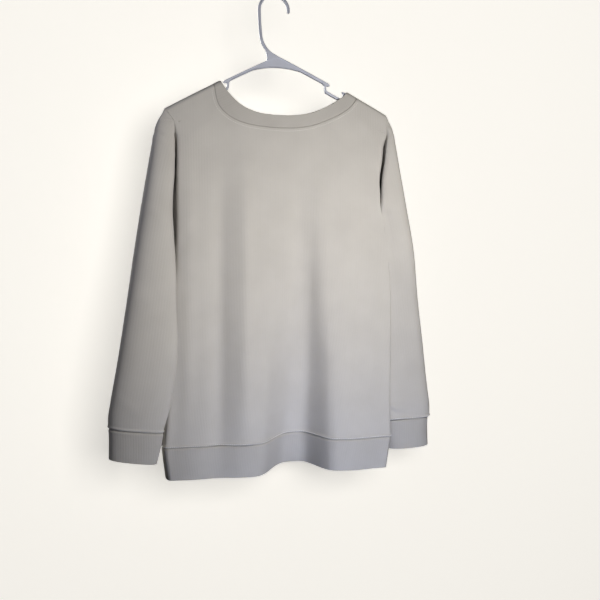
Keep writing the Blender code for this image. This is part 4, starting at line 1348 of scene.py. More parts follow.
@dataclass
class Panel(SewnPiece):
    """Back or front of the body, from the arms of the hanger to the hem seam."""

    face: Face
    neckline: Neckline
    creases: Sequence[Crease]
    cut: Cut
    form: Form
    node: str
    block: float = 0.0360  # fall of the shoulder block's last row at the body's side
    block_rows: int = 9
    block_columns: int = 26
    neck_steps: int = 10
    row_step: float = 0.0040
    usual_fall: float = 0.57  # height of the panel at which its rows are row_step apart
    settle: float = 1.2
    ruler: tuple[float, float] = (-0.23, 0.24)  # reach and size of the table of lengths
    ruler_rows: int = 90
    ruler_columns: int = 240
    crease_fall: float = 0.03  # fall and way from the side at which creases are whole
    crease_side: float = 0.012
    ripple: float = 0.00028
    ripple_from: float = 0.02
    ripple_fall: float = 0.12
    ripple_side: float = 0.02
    side_run: float = 0.02  # height over which the side seam begins under the armpit
    side_shade_narrowing: float = 1.6  # how much narrower the painted shade along the side seam is
    roll_reach: float = 0.045  # width of the roll beside a pleat
    cut_reach: float = 0.0150  # width of the undercut beside a pleat, and its fading edge
    cut_fade: float = 0.0050

    def drops(self, hand: int) -> tuple[Array, Array]:
        """Fall of the block's rows below the arms, at the body's side and at the neck seam."""
        shared = self.form.crest_falls()
        share = np.arange(1, self.block_rows + 1) / self.block_rows
        at_side = blend(shared[-1], self.block, share)
        at_seam = blend(shared[-1], self.neckline.end_drop(hand), share)
        return np.concatenate([shared, at_side]), np.concatenate([shared, at_seam])

    def shoulder_block(self, hand: int) -> Array:
        """Rows of (x, height) between the body's side and the steep part of the neckline.

        Args:
            hand: side of the body.

        Returns:
            The rows, from the arms down.
        """
        form = self.form
        rows = []
        for drop, seam_drop in zip(*self.drops(hand)):
            seam_x, seam_z = through(self.neckline.seams, self.neckline.place_of(seam_drop, hand))
            start = form.side_below(drop, hand)
            beside = start - hand * SIDE_COLUMNS
            inner = start - hand * form.side_round
            width = abs(seam_x - inner)
            share = spaced(width, width / self.block_columns, False, True) / width
            seam_fall = float(form.arm.cloth_height(seam_x)) - seam_z
            x = np.concatenate([beside, blend(inner, seam_x, share)])
            fall = np.concatenate([np.full(len(beside), drop), blend(drop, seam_fall, share**2)])
            rows.append(np.stack([x, form.arm.cloth_height(x) - fall], axis=1))
        count = min(len(row) for row in rows)
        return np.array([row if len(row) == count else self.resampled(row, count) for row in rows])

    @staticmethod
    def resampled(row: Array, count: int) -> Array:
        """A row of points read again at another number of places."""
        place = np.linspace(0.0, len(row) - 1.0, count)
        index = np.arange(len(row))
        return np.stack([np.interp(place, index, row[:, axis]) for axis in (0, 1)], axis=1)

    def grid(self) -> Array:
        """Rows of (x, height), NaN where the neckline is open.

        Returns:
            Rows, columns and the pair.
        """
        form, last = self.form, self.neckline.last
        left = self.shoulder_block(-1)
        right = self.shoulder_block(1)[:, ::-1]
        places = np.linspace(1.0, last - 1.0, (last - 2) * self.neck_steps + 1)
        middle = np.array([through(self.neckline.seams, place) for place in places[1:-1]])
        gap = np.full((len(left), len(middle), 2), np.nan)
        upper = np.concatenate([left, gap, right], axis=1)
        upper[-1, left.shape[1] : left.shape[1] + len(middle)] = middle
        tops = upper[-1]
        sides = len(SIDE_COLUMNS)
        shares = form.hem_shares(len(tops) - 2 * sides, self.face)
        low, high = form.hem_span(tops[:, 1])
        start = ((tops[:, 0] - low) / (high - low))[sides:-sides]
        downs = spaced(self.usual_fall, self.row_step, True, True)[1:] / self.usual_fall
        hem_x = form.row_x(np.array([[form.hem_seam]]), shares[None, :])[0]
        bottom = form.hem_seam + form.edge_gap / 2 + form.hem_lift(hem_x)
        lower = np.empty((len(downs), len(tops), 2))
        for row, down in enumerate(downs):
            height = blend(tops[:, 1], bottom, down)
            low, high = form.hem_span(height)
            share = blend(start, shares, smooth(down * self.settle))
            x = blend(low[sides:-sides], high[sides:-sides], share)
            x_left = form.side(height[:sides], -1) + SIDE_COLUMNS
            x_right = form.side(height[-sides:], 1) - SIDE_COLUMNS[::-1]
            lower[row, :, 0] = np.concatenate([x_left, x, x_right])
            lower[row, :, 1] = height
        return np.concatenate([upper, lower])

    def across(self, x: Array, z: Array) -> Array:
        """Metres across the cloth, read from a table of lengths at many heights.

        Args:
            x: places across the body.
            z: their heights.

        Returns:
            The length at each point.
        """
        form = self.form
        heights = np.linspace(form.hem, form.arm.top, self.ruler_rows)
        places = np.linspace(*self.ruler, self.ruler_columns)
        grid_x, grid_z = np.meshgrid(places, heights)
        y = form.panel_y(grid_x, grid_z, self.face)
        length = running(np.stack([grid_x, y, grid_z], axis=2), self.ruler_columns // 2)
        row = (z - heights[0]) / (heights[1] - heights[0])
        column = (x - places[0]) / (places[1] - places[0])
        row = np.nan_to_num(np.clip(row, 0.0, len(heights) - 1.001))
        column = np.nan_to_num(np.clip(column, 0.0, len(places) - 1.001))
        r, c = row.astype(int), column.astype(int)
        upper = blend(length[r, c], length[r, c + 1], column - c)
        lower = blend(length[r + 1, c], length[r + 1, c + 1], column - c)
        return blend(upper, lower, row - r)

    def wall(self) -> Wall:
        """The panel's middle surface with its seams and creases.

        Returns:
            The panel's wall.
        """
        form = self.form
        grid = self.grid()
        x, z = grid[..., 0], grid[..., 1]
        known = ~np.isnan(x)
        px, pz = np.where(known, x, 0.0), np.where(known, z, -0.5)
        y = np.where(known, form.panel_y(px, pz, self.face), np.nan)
        from_neck = self.neckline.distance(px, pz)
        from_hem = pz - (form.hem_seam + form.hem_lift(px))
        from_side = np.minimum(px - form.side(pz, -1), form.side(pz, 1) - px)
        fall = form.arm.cloth_height(px) - pz
        relief = NECK_SEAM.relief(from_neck) + SERGED_SEAM.relief(from_hem)
        relief = relief + SIDE_SEAM.relief(from_side) * smooth((form.armpit - pz) / self.side_run)
        free = smooth(fall / self.crease_fall) * smooth(from_side / self.crease_side)
        relief = relief + crease_relief(self.creases, px, pz) * free
        settled = smooth((fall - self.ripple_from) / self.ripple_fall)
        ripple = drape_relief(px, pz, self.ripple)
        relief = relief + ripple * settled * smooth(from_side / self.ripple_side)
        # Distance from the seams, which sets the painted seam shade of the fleece
        beside = np.where(pz < form.armpit, from_side * self.side_shade_narrowing, 1.0)
        seam = np.minimum(from_neck, np.minimum(from_hem, beside))
        open_side = np.where(pz < form.armpit, from_side, 1.0)
        edge = np.minimum(np.minimum(from_neck, from_hem), open_side)
        made = Wall(np.stack([x + self.roll(px, y, pz), y, z], axis=2), self.across(px, pz), pz,
                    seam, form.cloth / 2 * edge_share(edge, SHEET_EDGE), False,
                    self.face is Face.BACK)
        made.move(relief * off_crest(fall))
        return made

    def roll(self, x: Array, y: Array, z: Array) -> Array:
        """Shift in x of the body's turned sides, out over the pleats beside the sleeves.

        Args:
            x: places across the body.
            y: their depths.
            z: their heights.

        Returns:
            The shift at each point.
        """
        form = self.form
        total = np.zeros_like(x)
        if self.face is Face.FRONT:
            return total
        for hand, pleat in zip((-1, 1), form.pleats):
            side = form.side(z, hand)
            edge = -form.edge_depth(side, z, True)
            proud = smooth((edge - SEAM_LIP - y) / PLEAT_REACH)
            near = smooth(1.0 - np.abs(x - side) / self.roll_reach)
            total = total + hand * pleat.at("roll", z) * np.nan_to_num(proud) * near
        side = form.side(z, -1)
        edge = -form.edge_depth(side, z, True)
        cut = undercut(y, edge, -form.open_depth(side, z, True), form.pleats[0].at("under", z))
        near = smooth((self.cut_reach - np.abs(x - side)) / self.cut_fade)
        return total + np.nan_to_num(cut) * near

    def build(self, look: Material) -> Object:
        """Make the panel and tie it to its solid."""
        return self.sew(f"{self.face.value}_panel_cloth", Slot.FLEECE, ["hanger"], look)


@dataclass
class Sleeve(SewnPiece):
    """A sleeve from the shoulder corner to its cuff seam."""

    hand: Hand
    rows: Sequence[SleeveRow]
    tilt: float
    creases: Sequence[Crease]
    cut: Cut
    form: Form
    node: str
    columns: int = 100
    step: float = 0.0044
    power: float = 2.3  # how square the section is, and its two halves lower down
    outer_power: float = 2.3
    inner_power: float = 2.3
    power_run: float = 0.15
    top_reach: float = 0.30  # share around the section that the top of the sleeve covers
    seam_run: float = 0.0120
    slope_reach: float = 0.0040
    corner_step: float = 0.0003  # way from the body's side at the shoulder corner
    corner_run: float = 0.0300
    pit_run: float = 0.0400
    twist_run: float = 0.1200
    beside_from: float = 0.25  # share of the width at which the side beside the body begins
    beside_run: float = 0.6
    stand_reach: float = 0.0045
    flush_run: float = 0.02
    cap_power: float = 1.6
    cap_rows: int = 40  # rows of the sleeve's cap, and their share of its length
    cap_share: float = 0.16
    least_crease: float = 0.55  # share of its height that a crease keeps on the sleeve's side
    ripple: float = 0.00022
    ripple_run: float = 0.05

    @staticmethod
    def seam_share(offset: Array, back: Array, front: Array, power: Array) -> Array:
        """Share around the sleeve at which its inner half has a distance from the middle.

        Args:
            offset: depth of the seam behind or before the middle.
            back: depth of the section to the back.
            front: its depth to the front.
            power: how square it is.

        Returns:
            The share at each point.
        """
        depth = np.where(offset < 0.0, back, front)
        ratio = np.minimum(np.abs(offset) / depth, 1.0)
        slant = np.arcsin(ratio ** (power / 2.0)) / np.pi
        return np.where(offset < 0.0, 1.0 - slant, 1.0 + slant)

    def seam_x(self, table: Rows, height: Array) -> Array:
        """x of the sleeve's edge beside the body, or of its inner side under the armpit.

        Args:
            table: the sleeve's rows.
            height: heights to read.

        Returns:
            x at each height.
        """
        form = self.form
        hand = self.hand.value
        inner = table.at("inner", height)
        above = form.side(height + self.slope_reach, hand)
        below = form.side(height - self.slope_reach, hand)
        slope = (above - below) / (2 * self.slope_reach)
        lead = form.pit_top + form.pleat_lead - height
        step = blend(self.corner_step, form.ply_gap, smooth(lead / self.corner_run))
        beside = form.side(height, hand) + hand * step * np.hypot(1.0, slope)
        return blend(beside, inner, smooth((form.armpit - height) / self.pit_run))

    def section(self, height: Array, turn: Array, front: Array) -> Array:
        """Points on the sleeve: turn is 0 at the outer side and 1 at the seam beside the body.

        Args:
            height: heights of the points.
            turn: where they lie around the sleeve.
            front: whether they lie on its front half.

        Returns:
            The points.
        """
        form = self.form
        table = Rows(self.rows)
        outer, middle = table.at("outer", height), table.at("middle", height)
        back_depth, front_depth = table.at("back", height), table.at("front", height)
        lower = smooth((form.pit_top - height) / self.power_run)
        inner_power = blend(self.power, self.inner_power, lower * ~front)
        seam = self.seam_x(table, height)
        edge = form.edge_depth(form.side(height, self.hand.value), height, ~front)
        high = height > form.pit_top
        low = height <= form.armpit
        into_pit = smooth((form.corner - height) / (form.corner - form.pit_top))
        top_share = blend(self.top_reach, 0.5, into_pit)
        top_depth = edge / around(top_share, self.power)[1]
        pit = ~high & ~low
        back_depth = np.where(pit, np.maximum(back_depth, edge + middle), back_depth)
        back_depth = np.where(high, top_depth, back_depth)
        front_depth = np.where(pit, np.maximum(front_depth, edge - middle), front_depth)
        front_depth = np.where(high, top_depth, front_depth)
        beside = np.where(front, edge - middle, -edge - middle)
        under = -middle * (1.0 - smooth((form.armpit - height) / self.twist_run))
        offset = np.where(pit, beside, under)
        share = self.seam_share(offset, back_depth, front_depth, inner_power)
        reach = np.where(high, top_share, np.where(front, 2.0 - share, share))
        outer_power = blend(self.power, self.outer_power, lower)
        power = np.where(reach * turn > 0.5, inner_power, outer_power)
        cosine, sine = around(reach * turn, power)
        at_seam = around(reach, np.where(reach > 0.5, inner_power, self.power))[0]
        width = (seam - outer) / (1.0 - at_seam)
        x = outer + width * (1.0 - cosine)
        to_back, to_front = back_depth * np.abs(sine), front_depth * np.abs(sine)
        y = np.where((sine >= 0.0) != front, middle - to_back, middle + to_front)
        beside = np.abs(x - outer) / np.abs(seam - outer)
        beside = smooth((beside - self.beside_from) / self.beside_run)
        shift = self.stand_off(y, beside, -edge, height) * ~front
        if self.hand is Hand.RIGHT:
            slope = form.pleats[1].at("under", height) * beside * ~front
            shift = shift + undercut(y, -edge, middle - back_depth, slope)
            level = -form.open_depth(form.side(height, 1), height, True)
            flush = smooth((form.flush_from - height) / self.flush_run) * beside**2 * ~front
            y = blend(y, np.maximum(y, level), flush)
        return np.stack([x + shift, y, height], axis=2)

    def stand_off(self, y: Array, beside: Array, edge: Array, height: Array) -> Array:
        """Shift in x of the sleeve's inner side on the back, away from the body's side."""
        gap = self.form.pleats[0 if self.hand is Hand.LEFT else 1].at("gap", height)
        return self.hand.value * gap * smooth((edge - SEAM_LIP - y) / self.stand_reach) * beside

    def wall(self) -> Wall:
        """The sleeve's middle surface with its seams and creases.

        Returns:
            The sleeve's wall, a ring.
        """
        form = self.form
        half_count = self.columns // 2
        place = np.abs(np.arange(-half_count, half_count + 1)) / half_count
        front = np.arange(-half_count, half_count + 1) > 0
        bottom = self.rows[-1].height + form.edge_gap / 2 + self.tilt * np.cos(np.pi * place)
        corner_x = form.side(form.corner, self.hand.value)
        crest = float(form.arm.cloth_height(corner_x)) - form.edge_gap / 2
        top = crest - (crest - form.pit_top) * place**self.cap_power
        length = crest - self.rows[-1].height
        first = np.linspace(0.0, 1.0, self.cap_rows) ** self.cap_power * self.cap_share
        rest = spaced((1.0 - self.cap_share) * length, self.step, False, True) / length
        downs = np.concatenate([first, self.cap_share + rest[1:]])[:, None]
        height = blend(top[None, :], bottom[None, :], downs)
        near = np.exp(-(top[None, :] - height) / self.seam_run)
        turn = blend(place[None, :], 1.0, near)
        points = self.section(height, turn, np.broadcast_to(front[None, :], height.shape))
        x, z = points[..., 0], points[..., 2]
        from_cuff = height - bottom[None, :]
        # Distance from the cuff and armhole seams, which sets the painted seam shade of the fleece
        from_top = (1.0 - turn) * 0.05 + np.where(place[None, :] > 0.98, 0.0, 0.002)
        seam = np.minimum(from_cuff, from_top + 0.0009)
        half = form.cloth / 2 * edge_share(from_cuff, SHEET_EDGE)
        made = Wall(points, running(points, half_count), z, seam, half, False,
                    self.hand is Hand.RIGHT)
        towards = smooth(np.abs(made.normals()[..., 1]) * 1.6)
        settled = smooth((form.pit_top - z) / self.ripple_run) * smooth((1.0 - turn) / 0.2)
        under = smooth((form.armpit - z) / self.ripple_run)
        relief = SERGED_SEAM.relief(from_cuff)
        relief = relief + crease_relief(self.creases, x, z) * np.maximum(towards, self.least_crease)
        relief = relief + drape_relief(x, z, self.ripple) * np.maximum(settled, under)
        made.move(relief)
        return made

    def build(self, look: Material) -> Object:
        """Make the sleeve and tie it to its solid."""
        rests_on = ["back_panel_cloth", "front_panel_cloth"]
        return self.sew(f"{self.node}_cloth", Slot.FLEECE, rests_on, look)


def serged_ring(points: Array, down: Array, length: float, thick: float, flip: bool) -> Wall:
    """Wall of a rib band that is sewn on by its upper edge, with its allowance folded in behind.

    Args:
        points: the band's middle surface.
        down: way past the seam at each point.
        length: height of the band.
        thick: thickness of the band.
        flip: whether its cells face inwards as they are laid.

    Returns:
        The wall.
    """
    half = thick / 2 * edge_share(np.minimum(length - down, LAP + down))
    made = Wall(points, running(closed(points)), -closed(down), np.abs(down), half, True, flip)
    behind = smooth(-down / LAP_RUN) * (SERGED_SEAM.dip + LAP_DEPTH - SERGED_BAND.dip * LAP_RISE)
    made.move(SERGED_BAND.relief(down) - behind)
    return made


@dataclass
class Cuff(SewnPiece):
    """The ribbed ring at the end of a sleeve."""

    hand: Hand
    rows: Sequence[SleeveRow]
    tilt: float
    cut: Cut
    form: Form
    node: str
    sleeve: str
    columns: int = 100
    power: float = 2.3
    step: float = 0.0030

    def wall(self) -> Wall:
        """The cuff's middle surface.

        Returns:
            The cuff's wall, a ring.
        """
        table = Rows(self.rows)
        top = self.rows[0].height - self.form.edge_gap / 2
        length = top - self.rows[-1].height
        downs = np.concatenate([LAP_ROWS, spaced(length, self.step, True, True)])
        cosine, sine = around(2.0 * np.arange(self.columns) / self.columns, self.power)
        down, cosine = np.meshgrid(downs, cosine, indexing="ij")
        sine = np.broadcast_to(sine, down.shape)
        height = top - down
        outer, inner = table.at("outer", height), table.at("inner", height)
        depth = np.where(sine > 0.0, table.at("back", height), table.at("front", height))
        x = outer + (inner - outer) * (1.0 - cosine) / 2.0
        y = table.at("middle", height) - depth * sine
        points = np.stack([x, y, height + self.tilt * cosine], axis=2)
        return serged_ring(points, down, length, self.form.rib, self.hand is Hand.LEFT)

    def build(self, look: Material) -> Object:
        """Make the cuff and tie it to its solid."""
        return self.sew(f"{self.node}_knit", Slot.RIB, [self.sleeve], look)


@dataclass
class HemBand(SewnPiece):
    """The ribbed ring under the body."""

    cut: Cut
    form: Form
    node: str = "hem_band"
    columns: int = 180
    step: float = 0.0032

    def half_ring(self, downs: Array, face: Face) -> Array:
        """Points of one face of the band, from the left side to the right.

        Args:
            downs: distances below the seam.
            face: back or front.

        Returns:
            Rows of points.
        """
        form = self.form
        shares = form.hem_shares(self.columns, face)[None, :]
        height = form.hem_seam - form.edge_gap / 2 - downs[:, None]
        x = form.row_x(height, shares)
        at_seam = form.row_x(np.array([[form.hem_seam]]), shares)
        height = np.broadcast_to(height, x.shape)
        lift = form.hem_lift(np.broadcast_to(at_seam, x.shape))
        return np.stack([x, form.panel_y(x, height, face), height + lift], axis=2)

    def wall(self) -> Wall:
        """The band's middle surface.

        Returns:
            The band's wall, a ring.
        """
        form = self.form
        length = form.hem_seam - form.edge_gap / 2 - form.hem
        downs = np.concatenate([LAP_ROWS, spaced(length, self.step, True, True)])
        back = self.half_ring(downs, Face.BACK)
        back[:, [0, -1], 1] = 0.0
        points = ring_of(back, self.half_ring(downs, Face.FRONT))
        down = np.broadcast_to(downs[:, None], points.shape[:2])
        return serged_ring(points, down, length, form.rib, True)

    def build(self, look: Material) -> Object:
        """Make the band and tie it to its solid."""
        return self.sew("hem_band_knit", Slot.RIB, ["back_panel_cloth", "front_panel_cloth"], look)


@dataclass
class Neckband(SewnPiece):
    """The ribbed ring of the neckline, over both arms of the hanger."""

    back: Neckline
    front: Neckline
    cut: Cut
    form: Form
    node: str = "neckband"
    steps: int = 9
    width: float = 0.0232  # usual width, at which its rows are row_step apart
    row_step: float = 0.0026
    lap_from: float = 0.016  # fall below the arms at which its allowance begins to show
    lap_run: float = 0.02
    lap_least: float = 0.04  # share of the allowance that is left on the arms
    lap_rise: float = 0.0008  # how much closer to the panel it lies than a serged one

    def stations(self, line: Neckline) -> tuple[Array, Array]:
        """Matching points of seam and free edge, from the left shoulder to the right.

        Args:
            line: neckline of one panel.

        Returns:
            Places on seam and free edge.
        """
        drops = self.form.crest_falls()
        sides = []
        for hand in (-1, 1):
            extra = [blend(drops[-1], line.end_drop(hand), share) for share in (0.2, 0.4, 0.6, 0.8)]
            sides.append([line.place_of(drop, hand) for drop in [*drops, *extra]])
        middle = list(np.linspace(1.0, line.last - 1.0, (line.last - 2) * self.steps + 1))
        places = sides[0] + middle + sides[1][::-1]
        seam = np.array([through(line.seams, place) for place in places])
        edge = np.array([through(line.edges, place) for place in places])
        return seam, edge

    def lap(self, fall: Array) -> Array:
        """Share of the allowance that is folded in at a fall below the arms."""
        return smooth((fall - self.lap_from) / self.lap_run)

    def half_ring(self, line: Neckline, face: Face) -> tuple[Array, Array]:
        """Points of one face of the band and their distance past the seam.

        Args:
            line: neckline of one panel.
            face: back or front.

        Returns:
            Rows of points, and distances.
        """
        form = self.form
        seam, edge = self.stations(line)
        way = edge - seam
        length = np.hypot(way[:, 0], way[:, 1])
        way = way / length[:, None]
        lap = self.lap(form.arm.cloth_height(seam[:, 0]) - seam[:, 1])
        inside = np.array(LAP_ROWS)[:, None] * blend(self.lap_least, 1.0, lap)[None, :]
        usual = spaced(self.width, self.row_step, True, True)
        outside = usual[:, None] / self.width * (length - form.edge_gap / 2)[None, :]
        distance = np.concatenate([inside, outside])
        start = seam + way * form.edge_gap / 2
        place = start[None] + way[None] * distance[..., None]
        y = form.panel_y(place[..., 0], place[..., 1], face)
        y[:, [0, -1]] = 0.0
        return np.stack([place[..., 0], y, place[..., 1]], axis=2), distance

    def wall(self) -> Wall:
        """The band's middle surface.

        Returns:
            The band's wall, a ring.
        """
        form = self.form
        back, back_way = self.half_ring(self.back, Face.BACK)
        front, front_way = self.half_ring(self.front, Face.FRONT)
        points = ring_of(back, front)
        distance = ring_of(back_way, front_way)
        edge = np.minimum(distance[-1][None, :] - distance, distance - distance[0][None, :])
        made = Wall(points, running(closed(points)), closed(distance), np.abs(distance),
                    form.rib / 2 * edge_share(edge), True, False)
        fall = np.maximum(form.arm.cloth_height(points[..., 0]) - points[..., 2], 0.0)
        lap = self.lap(fall[len(LAP_ROWS)][None, :])
        behind = smooth(-distance / LAP_RUN) * (NECK_SEAM.dip + LAP_DEPTH - self.lap_rise) * lap
        made.move(NECK_BAND_SEAM.relief(distance) * off_crest(fall) - behind)
        return made

    def build(self, look: Material) -> Object:
        """Make the band and tie it to its solid."""
        return self.sew("neckband_knit", Slot.RIB, ["hanger"], look)


# ---- Stitches ----
@dataclass(frozen=True)
class StitchSize:
    """One stitch: how far apart they start, how long and how thick each is.

    The real thread is about 0.3 mm thick, too fine to show, so it is drawn thicker.
    """

    spacing: float = 0.0036
    length: float = 0.0028
    radius: float = 0.00034


PROUD = 0.4             # share of a stitch's radius by which its middle stands over the cloth
NECK_SINK = 0.00012     # how much deeper the neck's row is pulled into the cloth


def outer_line(line: Array, turn: float, lift: float) -> Array:
    """A line in a wall's middle, moved out to its outer face.

    Args:
        line: points one after another.
        turn: 1 where the outside lies at the right hand of the way along it, seen from above.
        lift: distance from the middle to the line's place outside.

    Returns:
        The moved line.
    """
    way = np.gradient(line, axis=0)
    outward = turn * np.stack([way[:, 1], -way[:, 0], np.zeros(len(way))], axis=1)
    return line + lift * outward / np.linalg.norm(outward, axis=1, keepdims=True)


def above_edge(wall: Wall, distance: float, rows: int = 13) -> Array:
    """Points in a wall's middle at a distance above its lower edge.

    Args:
        wall: a wall whose rows go down.
        distance: metres above the edge.
        rows: last rows to look in.

    Returns:
        One point for each column.
    """
    points = wall.points[: -rows - 1 : -1]
    heights = points[..., 2]
    line = []
    for column in range(points.shape[1]):
        wanted = heights[0, column] + distance
        line.append([
            np.interp(wanted, heights[:, column], points[:, column, axis]) for axis in range(3)
        ])
    return np.array(line)


@dataclass
class CoverStitch:
    """A row of stitches beside a seam, laid along its line by Geometry Nodes."""

    name: str
    line: Array
    size: StitchSize = StitchSize()

    @classmethod
    def at_neck(
        cls, form: Form, neckline: Neckline, face: Face, offset: float = 0.0054
    ) -> CoverStitch:
        """The row on a panel, below the neck seam.

        Args:
            form: the garment's form.
            neckline: seam of the panel.
            face: back or front.
            offset: distance below the seam.

        Returns:
            The row on its path.
        """
        seam = neckline.line(240)[10:-10]
        way = np.gradient(seam, axis=0)
        way = way / np.linalg.norm(way, axis=1, keepdims=True)
        x, z = (seam + np.stack([way[:, 1], -way[:, 0]], axis=1) * offset).T
        step = 0.0008
        y = form.panel_y(x, z, face)
        slope_x = (form.panel_y(x + step, z, face) - form.panel_y(x - step, z, face)) / (2 * step)
        slope_z = (form.panel_y(x, z + step, face) - form.panel_y(x, z - step, face)) / (2 * step)
        outward = -1.0 if face is Face.BACK else 1.0
        normal = np.stack([-slope_x, np.ones_like(x), -slope_z], axis=1) * outward
        normal = normal / np.linalg.norm(normal, axis=1, keepdims=True)
        lift = form.cloth / 2 + StitchSize().radius * PROUD - NECK_SINK
        return cls(f"neck_stitches_{face.value}", np.stack([x, y, z], axis=1) + normal * lift)

    @classmethod
    def above(
        cls, name: str, wall: Wall, turn: float, cloth: float, distance: float = 0.0024
    ) -> CoverStitch:
        """The row above the lower edge of a sheet."""
        size = StitchSize(spacing=0.0034, length=0.0034, radius=0.00075)
        line = outer_line(above_edge(wall, distance), turn, cloth / 2 + size.radius * PROUD)
        return cls(name, line, size)

    def tree(self) -> NodeTree:
        """The node group that turns a path into stitches.

        Returns:
            The node group.
        """
        group = bpy.data.node_groups.new("stitches_on_path", "GeometryNodeTree")
        for name, kind in (("Geometry", "Geometry"), ("Spacing", "Float"), ("Length", "Float"),
                           ("Radius", "Float"), ("Thread", "Material")):
            group.interface.new_socket(name, in_out="INPUT", socket_type=f"NodeSocket{kind}")
        group.interface.new_socket("Geometry", in_out="OUTPUT", socket_type="NodeSocketGeometry")
        given = add_node(group, "NodeGroupInput").outputs
        curve = add_node(group, "GeometryNodeMeshToCurve", None, {"Mesh": given["Geometry"]})
        points = add_node(group, "GeometryNodeCurveToPoints", {"mode": "LENGTH"},
                          {"Curve": curve.outputs[0], "Length": given["Spacing"]})
        grain = add_node(group, "GeometryNodeMeshUVSphere", None,
                         {"Segments": 6, "Rings": 5, "Radius": given["Radius"]})
        ratio = add_node(group, "ShaderNodeMath", {"operation": "DIVIDE"},
                         {0: given["Length"], 1: given["Radius"]})
        stretch = add_node(group, "ShaderNodeMath", {"operation": "MULTIPLY"},
                           {0: ratio.outputs[0], 1: 0.5})
        scale = add_node(group, "ShaderNodeCombineXYZ", None,
                         {"X": 1.0, "Y": 1.0, "Z": stretch.outputs[0]})
        stitch = add_node(group, "GeometryNodeTransform", None,
                          {"Geometry": grain.outputs["Mesh"], "Scale": scale.outputs[0]})
        placed = add_node(group, "GeometryNodeInstanceOnPoints", None,
                          {"Points": points.outputs["Points"], "Instance": stitch.outputs[0],
                           "Rotation": points.outputs["Rotation"]})
        real = add_node(group, "GeometryNodeRealizeInstances", None,
                        {"Geometry": placed.outputs[0]})
        dressed = add_node(group, "GeometryNodeSetMaterial", None,
                           {"Geometry": real.outputs[0], "Material": given["Thread"]})
        add_node(group, "NodeGroupOutput", None, {0: dressed.outputs[0]})
        return group

    def build(self, look: Material) -> Object:
        """Lay the stitches and keep them as a plain mesh.

        Args:
            look: material of the thread.

        Returns:
            The stitches.
        """
        points = [tuple(point) for point in self.line]
        source = bpy.data.meshes.new(self.name + "_path")
        source.from_pydata(points, [(index, index + 1) for index in range(len(points) - 1)], [])
        carrier = new_object(self.name + "_path", source)
        step = carrier.modifiers.new("Stitches", "NODES")
        step.node_group = self.tree()
        size = self.size
        values = {"Spacing": size.spacing, "Length": size.length, "Radius": size.radius,
                  "Thread": look}
        for item in step.node_group.interface.items_tree:
            if item.item_type == "SOCKET" and item.in_out == "INPUT" and item.name in values:
                step[item.identifier] = values[item.name]
        bpy.context.view_layer.update()
        graph = bpy.context.evaluated_depsgraph_get()
        mesh = bpy.data.meshes.new_from_object(carrier.evaluated_get(graph))
        bpy.data.objects.remove(carrier)
        mesh.name = self.name
        mesh.shade_smooth()
        piece = place_piece(self.name, mesh, look)
        hand_over(piece, None)
        return piece


@dataclass
class HangerDress:
    """The hanger keeps its CAD solid and gets its real finish."""

    node: str = "hanger"

    def build(self, look: Material) -> Object:
        """Dress the moulding."""
        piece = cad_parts[self.node]
        for slot in piece.material_slots:
            slot.material = look
        LOG.info("%s: dressed", piece.name)
        return piece


# ---- Studio ----
def aim(made: Object, place: Point, target: Point) -> None:
    """Put a lamp or camera at its place, turned to its target."""
    made.location = place
    made.rotation_euler = (Vector(target) - Vector(place)).to_track_quat("-Z", "Y").to_euler()


class Onto(Enum):
    """What a lamp is flagged to light."""

    GARMENT = "garment"
    PAPER = "paper"


@dataclass(frozen=True)
class Lamp:
    """A soft rectangular light: its place, what it points at, size, power, colour and beam."""

    name: str
    place: Point
    target: Point
    size: tuple[float, float]
    power: float
    colour: str
    beam: float = 180.0
    onto: Onto = Onto.GARMENT

    def build(self, lit: bpy.types.Collection) -> Object:
        """Put the light in the scene, flagged to light one collection.

        Args:
            lit: what the light reaches.

        Returns:
            The light's object.
        """
        data = bpy.data.lights.new(self.name, "AREA")
        data.shape = "RECTANGLE"
        data.size, data.size_y = self.size
        data.energy = self.power
        data.color = linear(self.colour)[:3]
        data.spread = math.radians(self.beam)
        made = new_object(self.name, data)
        aim(made, self.place, self.target)
        made.visible_camera = False
        made.light_linking.receiver_collection = lit
        if self.onto is Onto.GARMENT:
            # The paper, which stands close behind, stops none of the garment's light
            made.light_linking.blocker_collection = lit
        return made


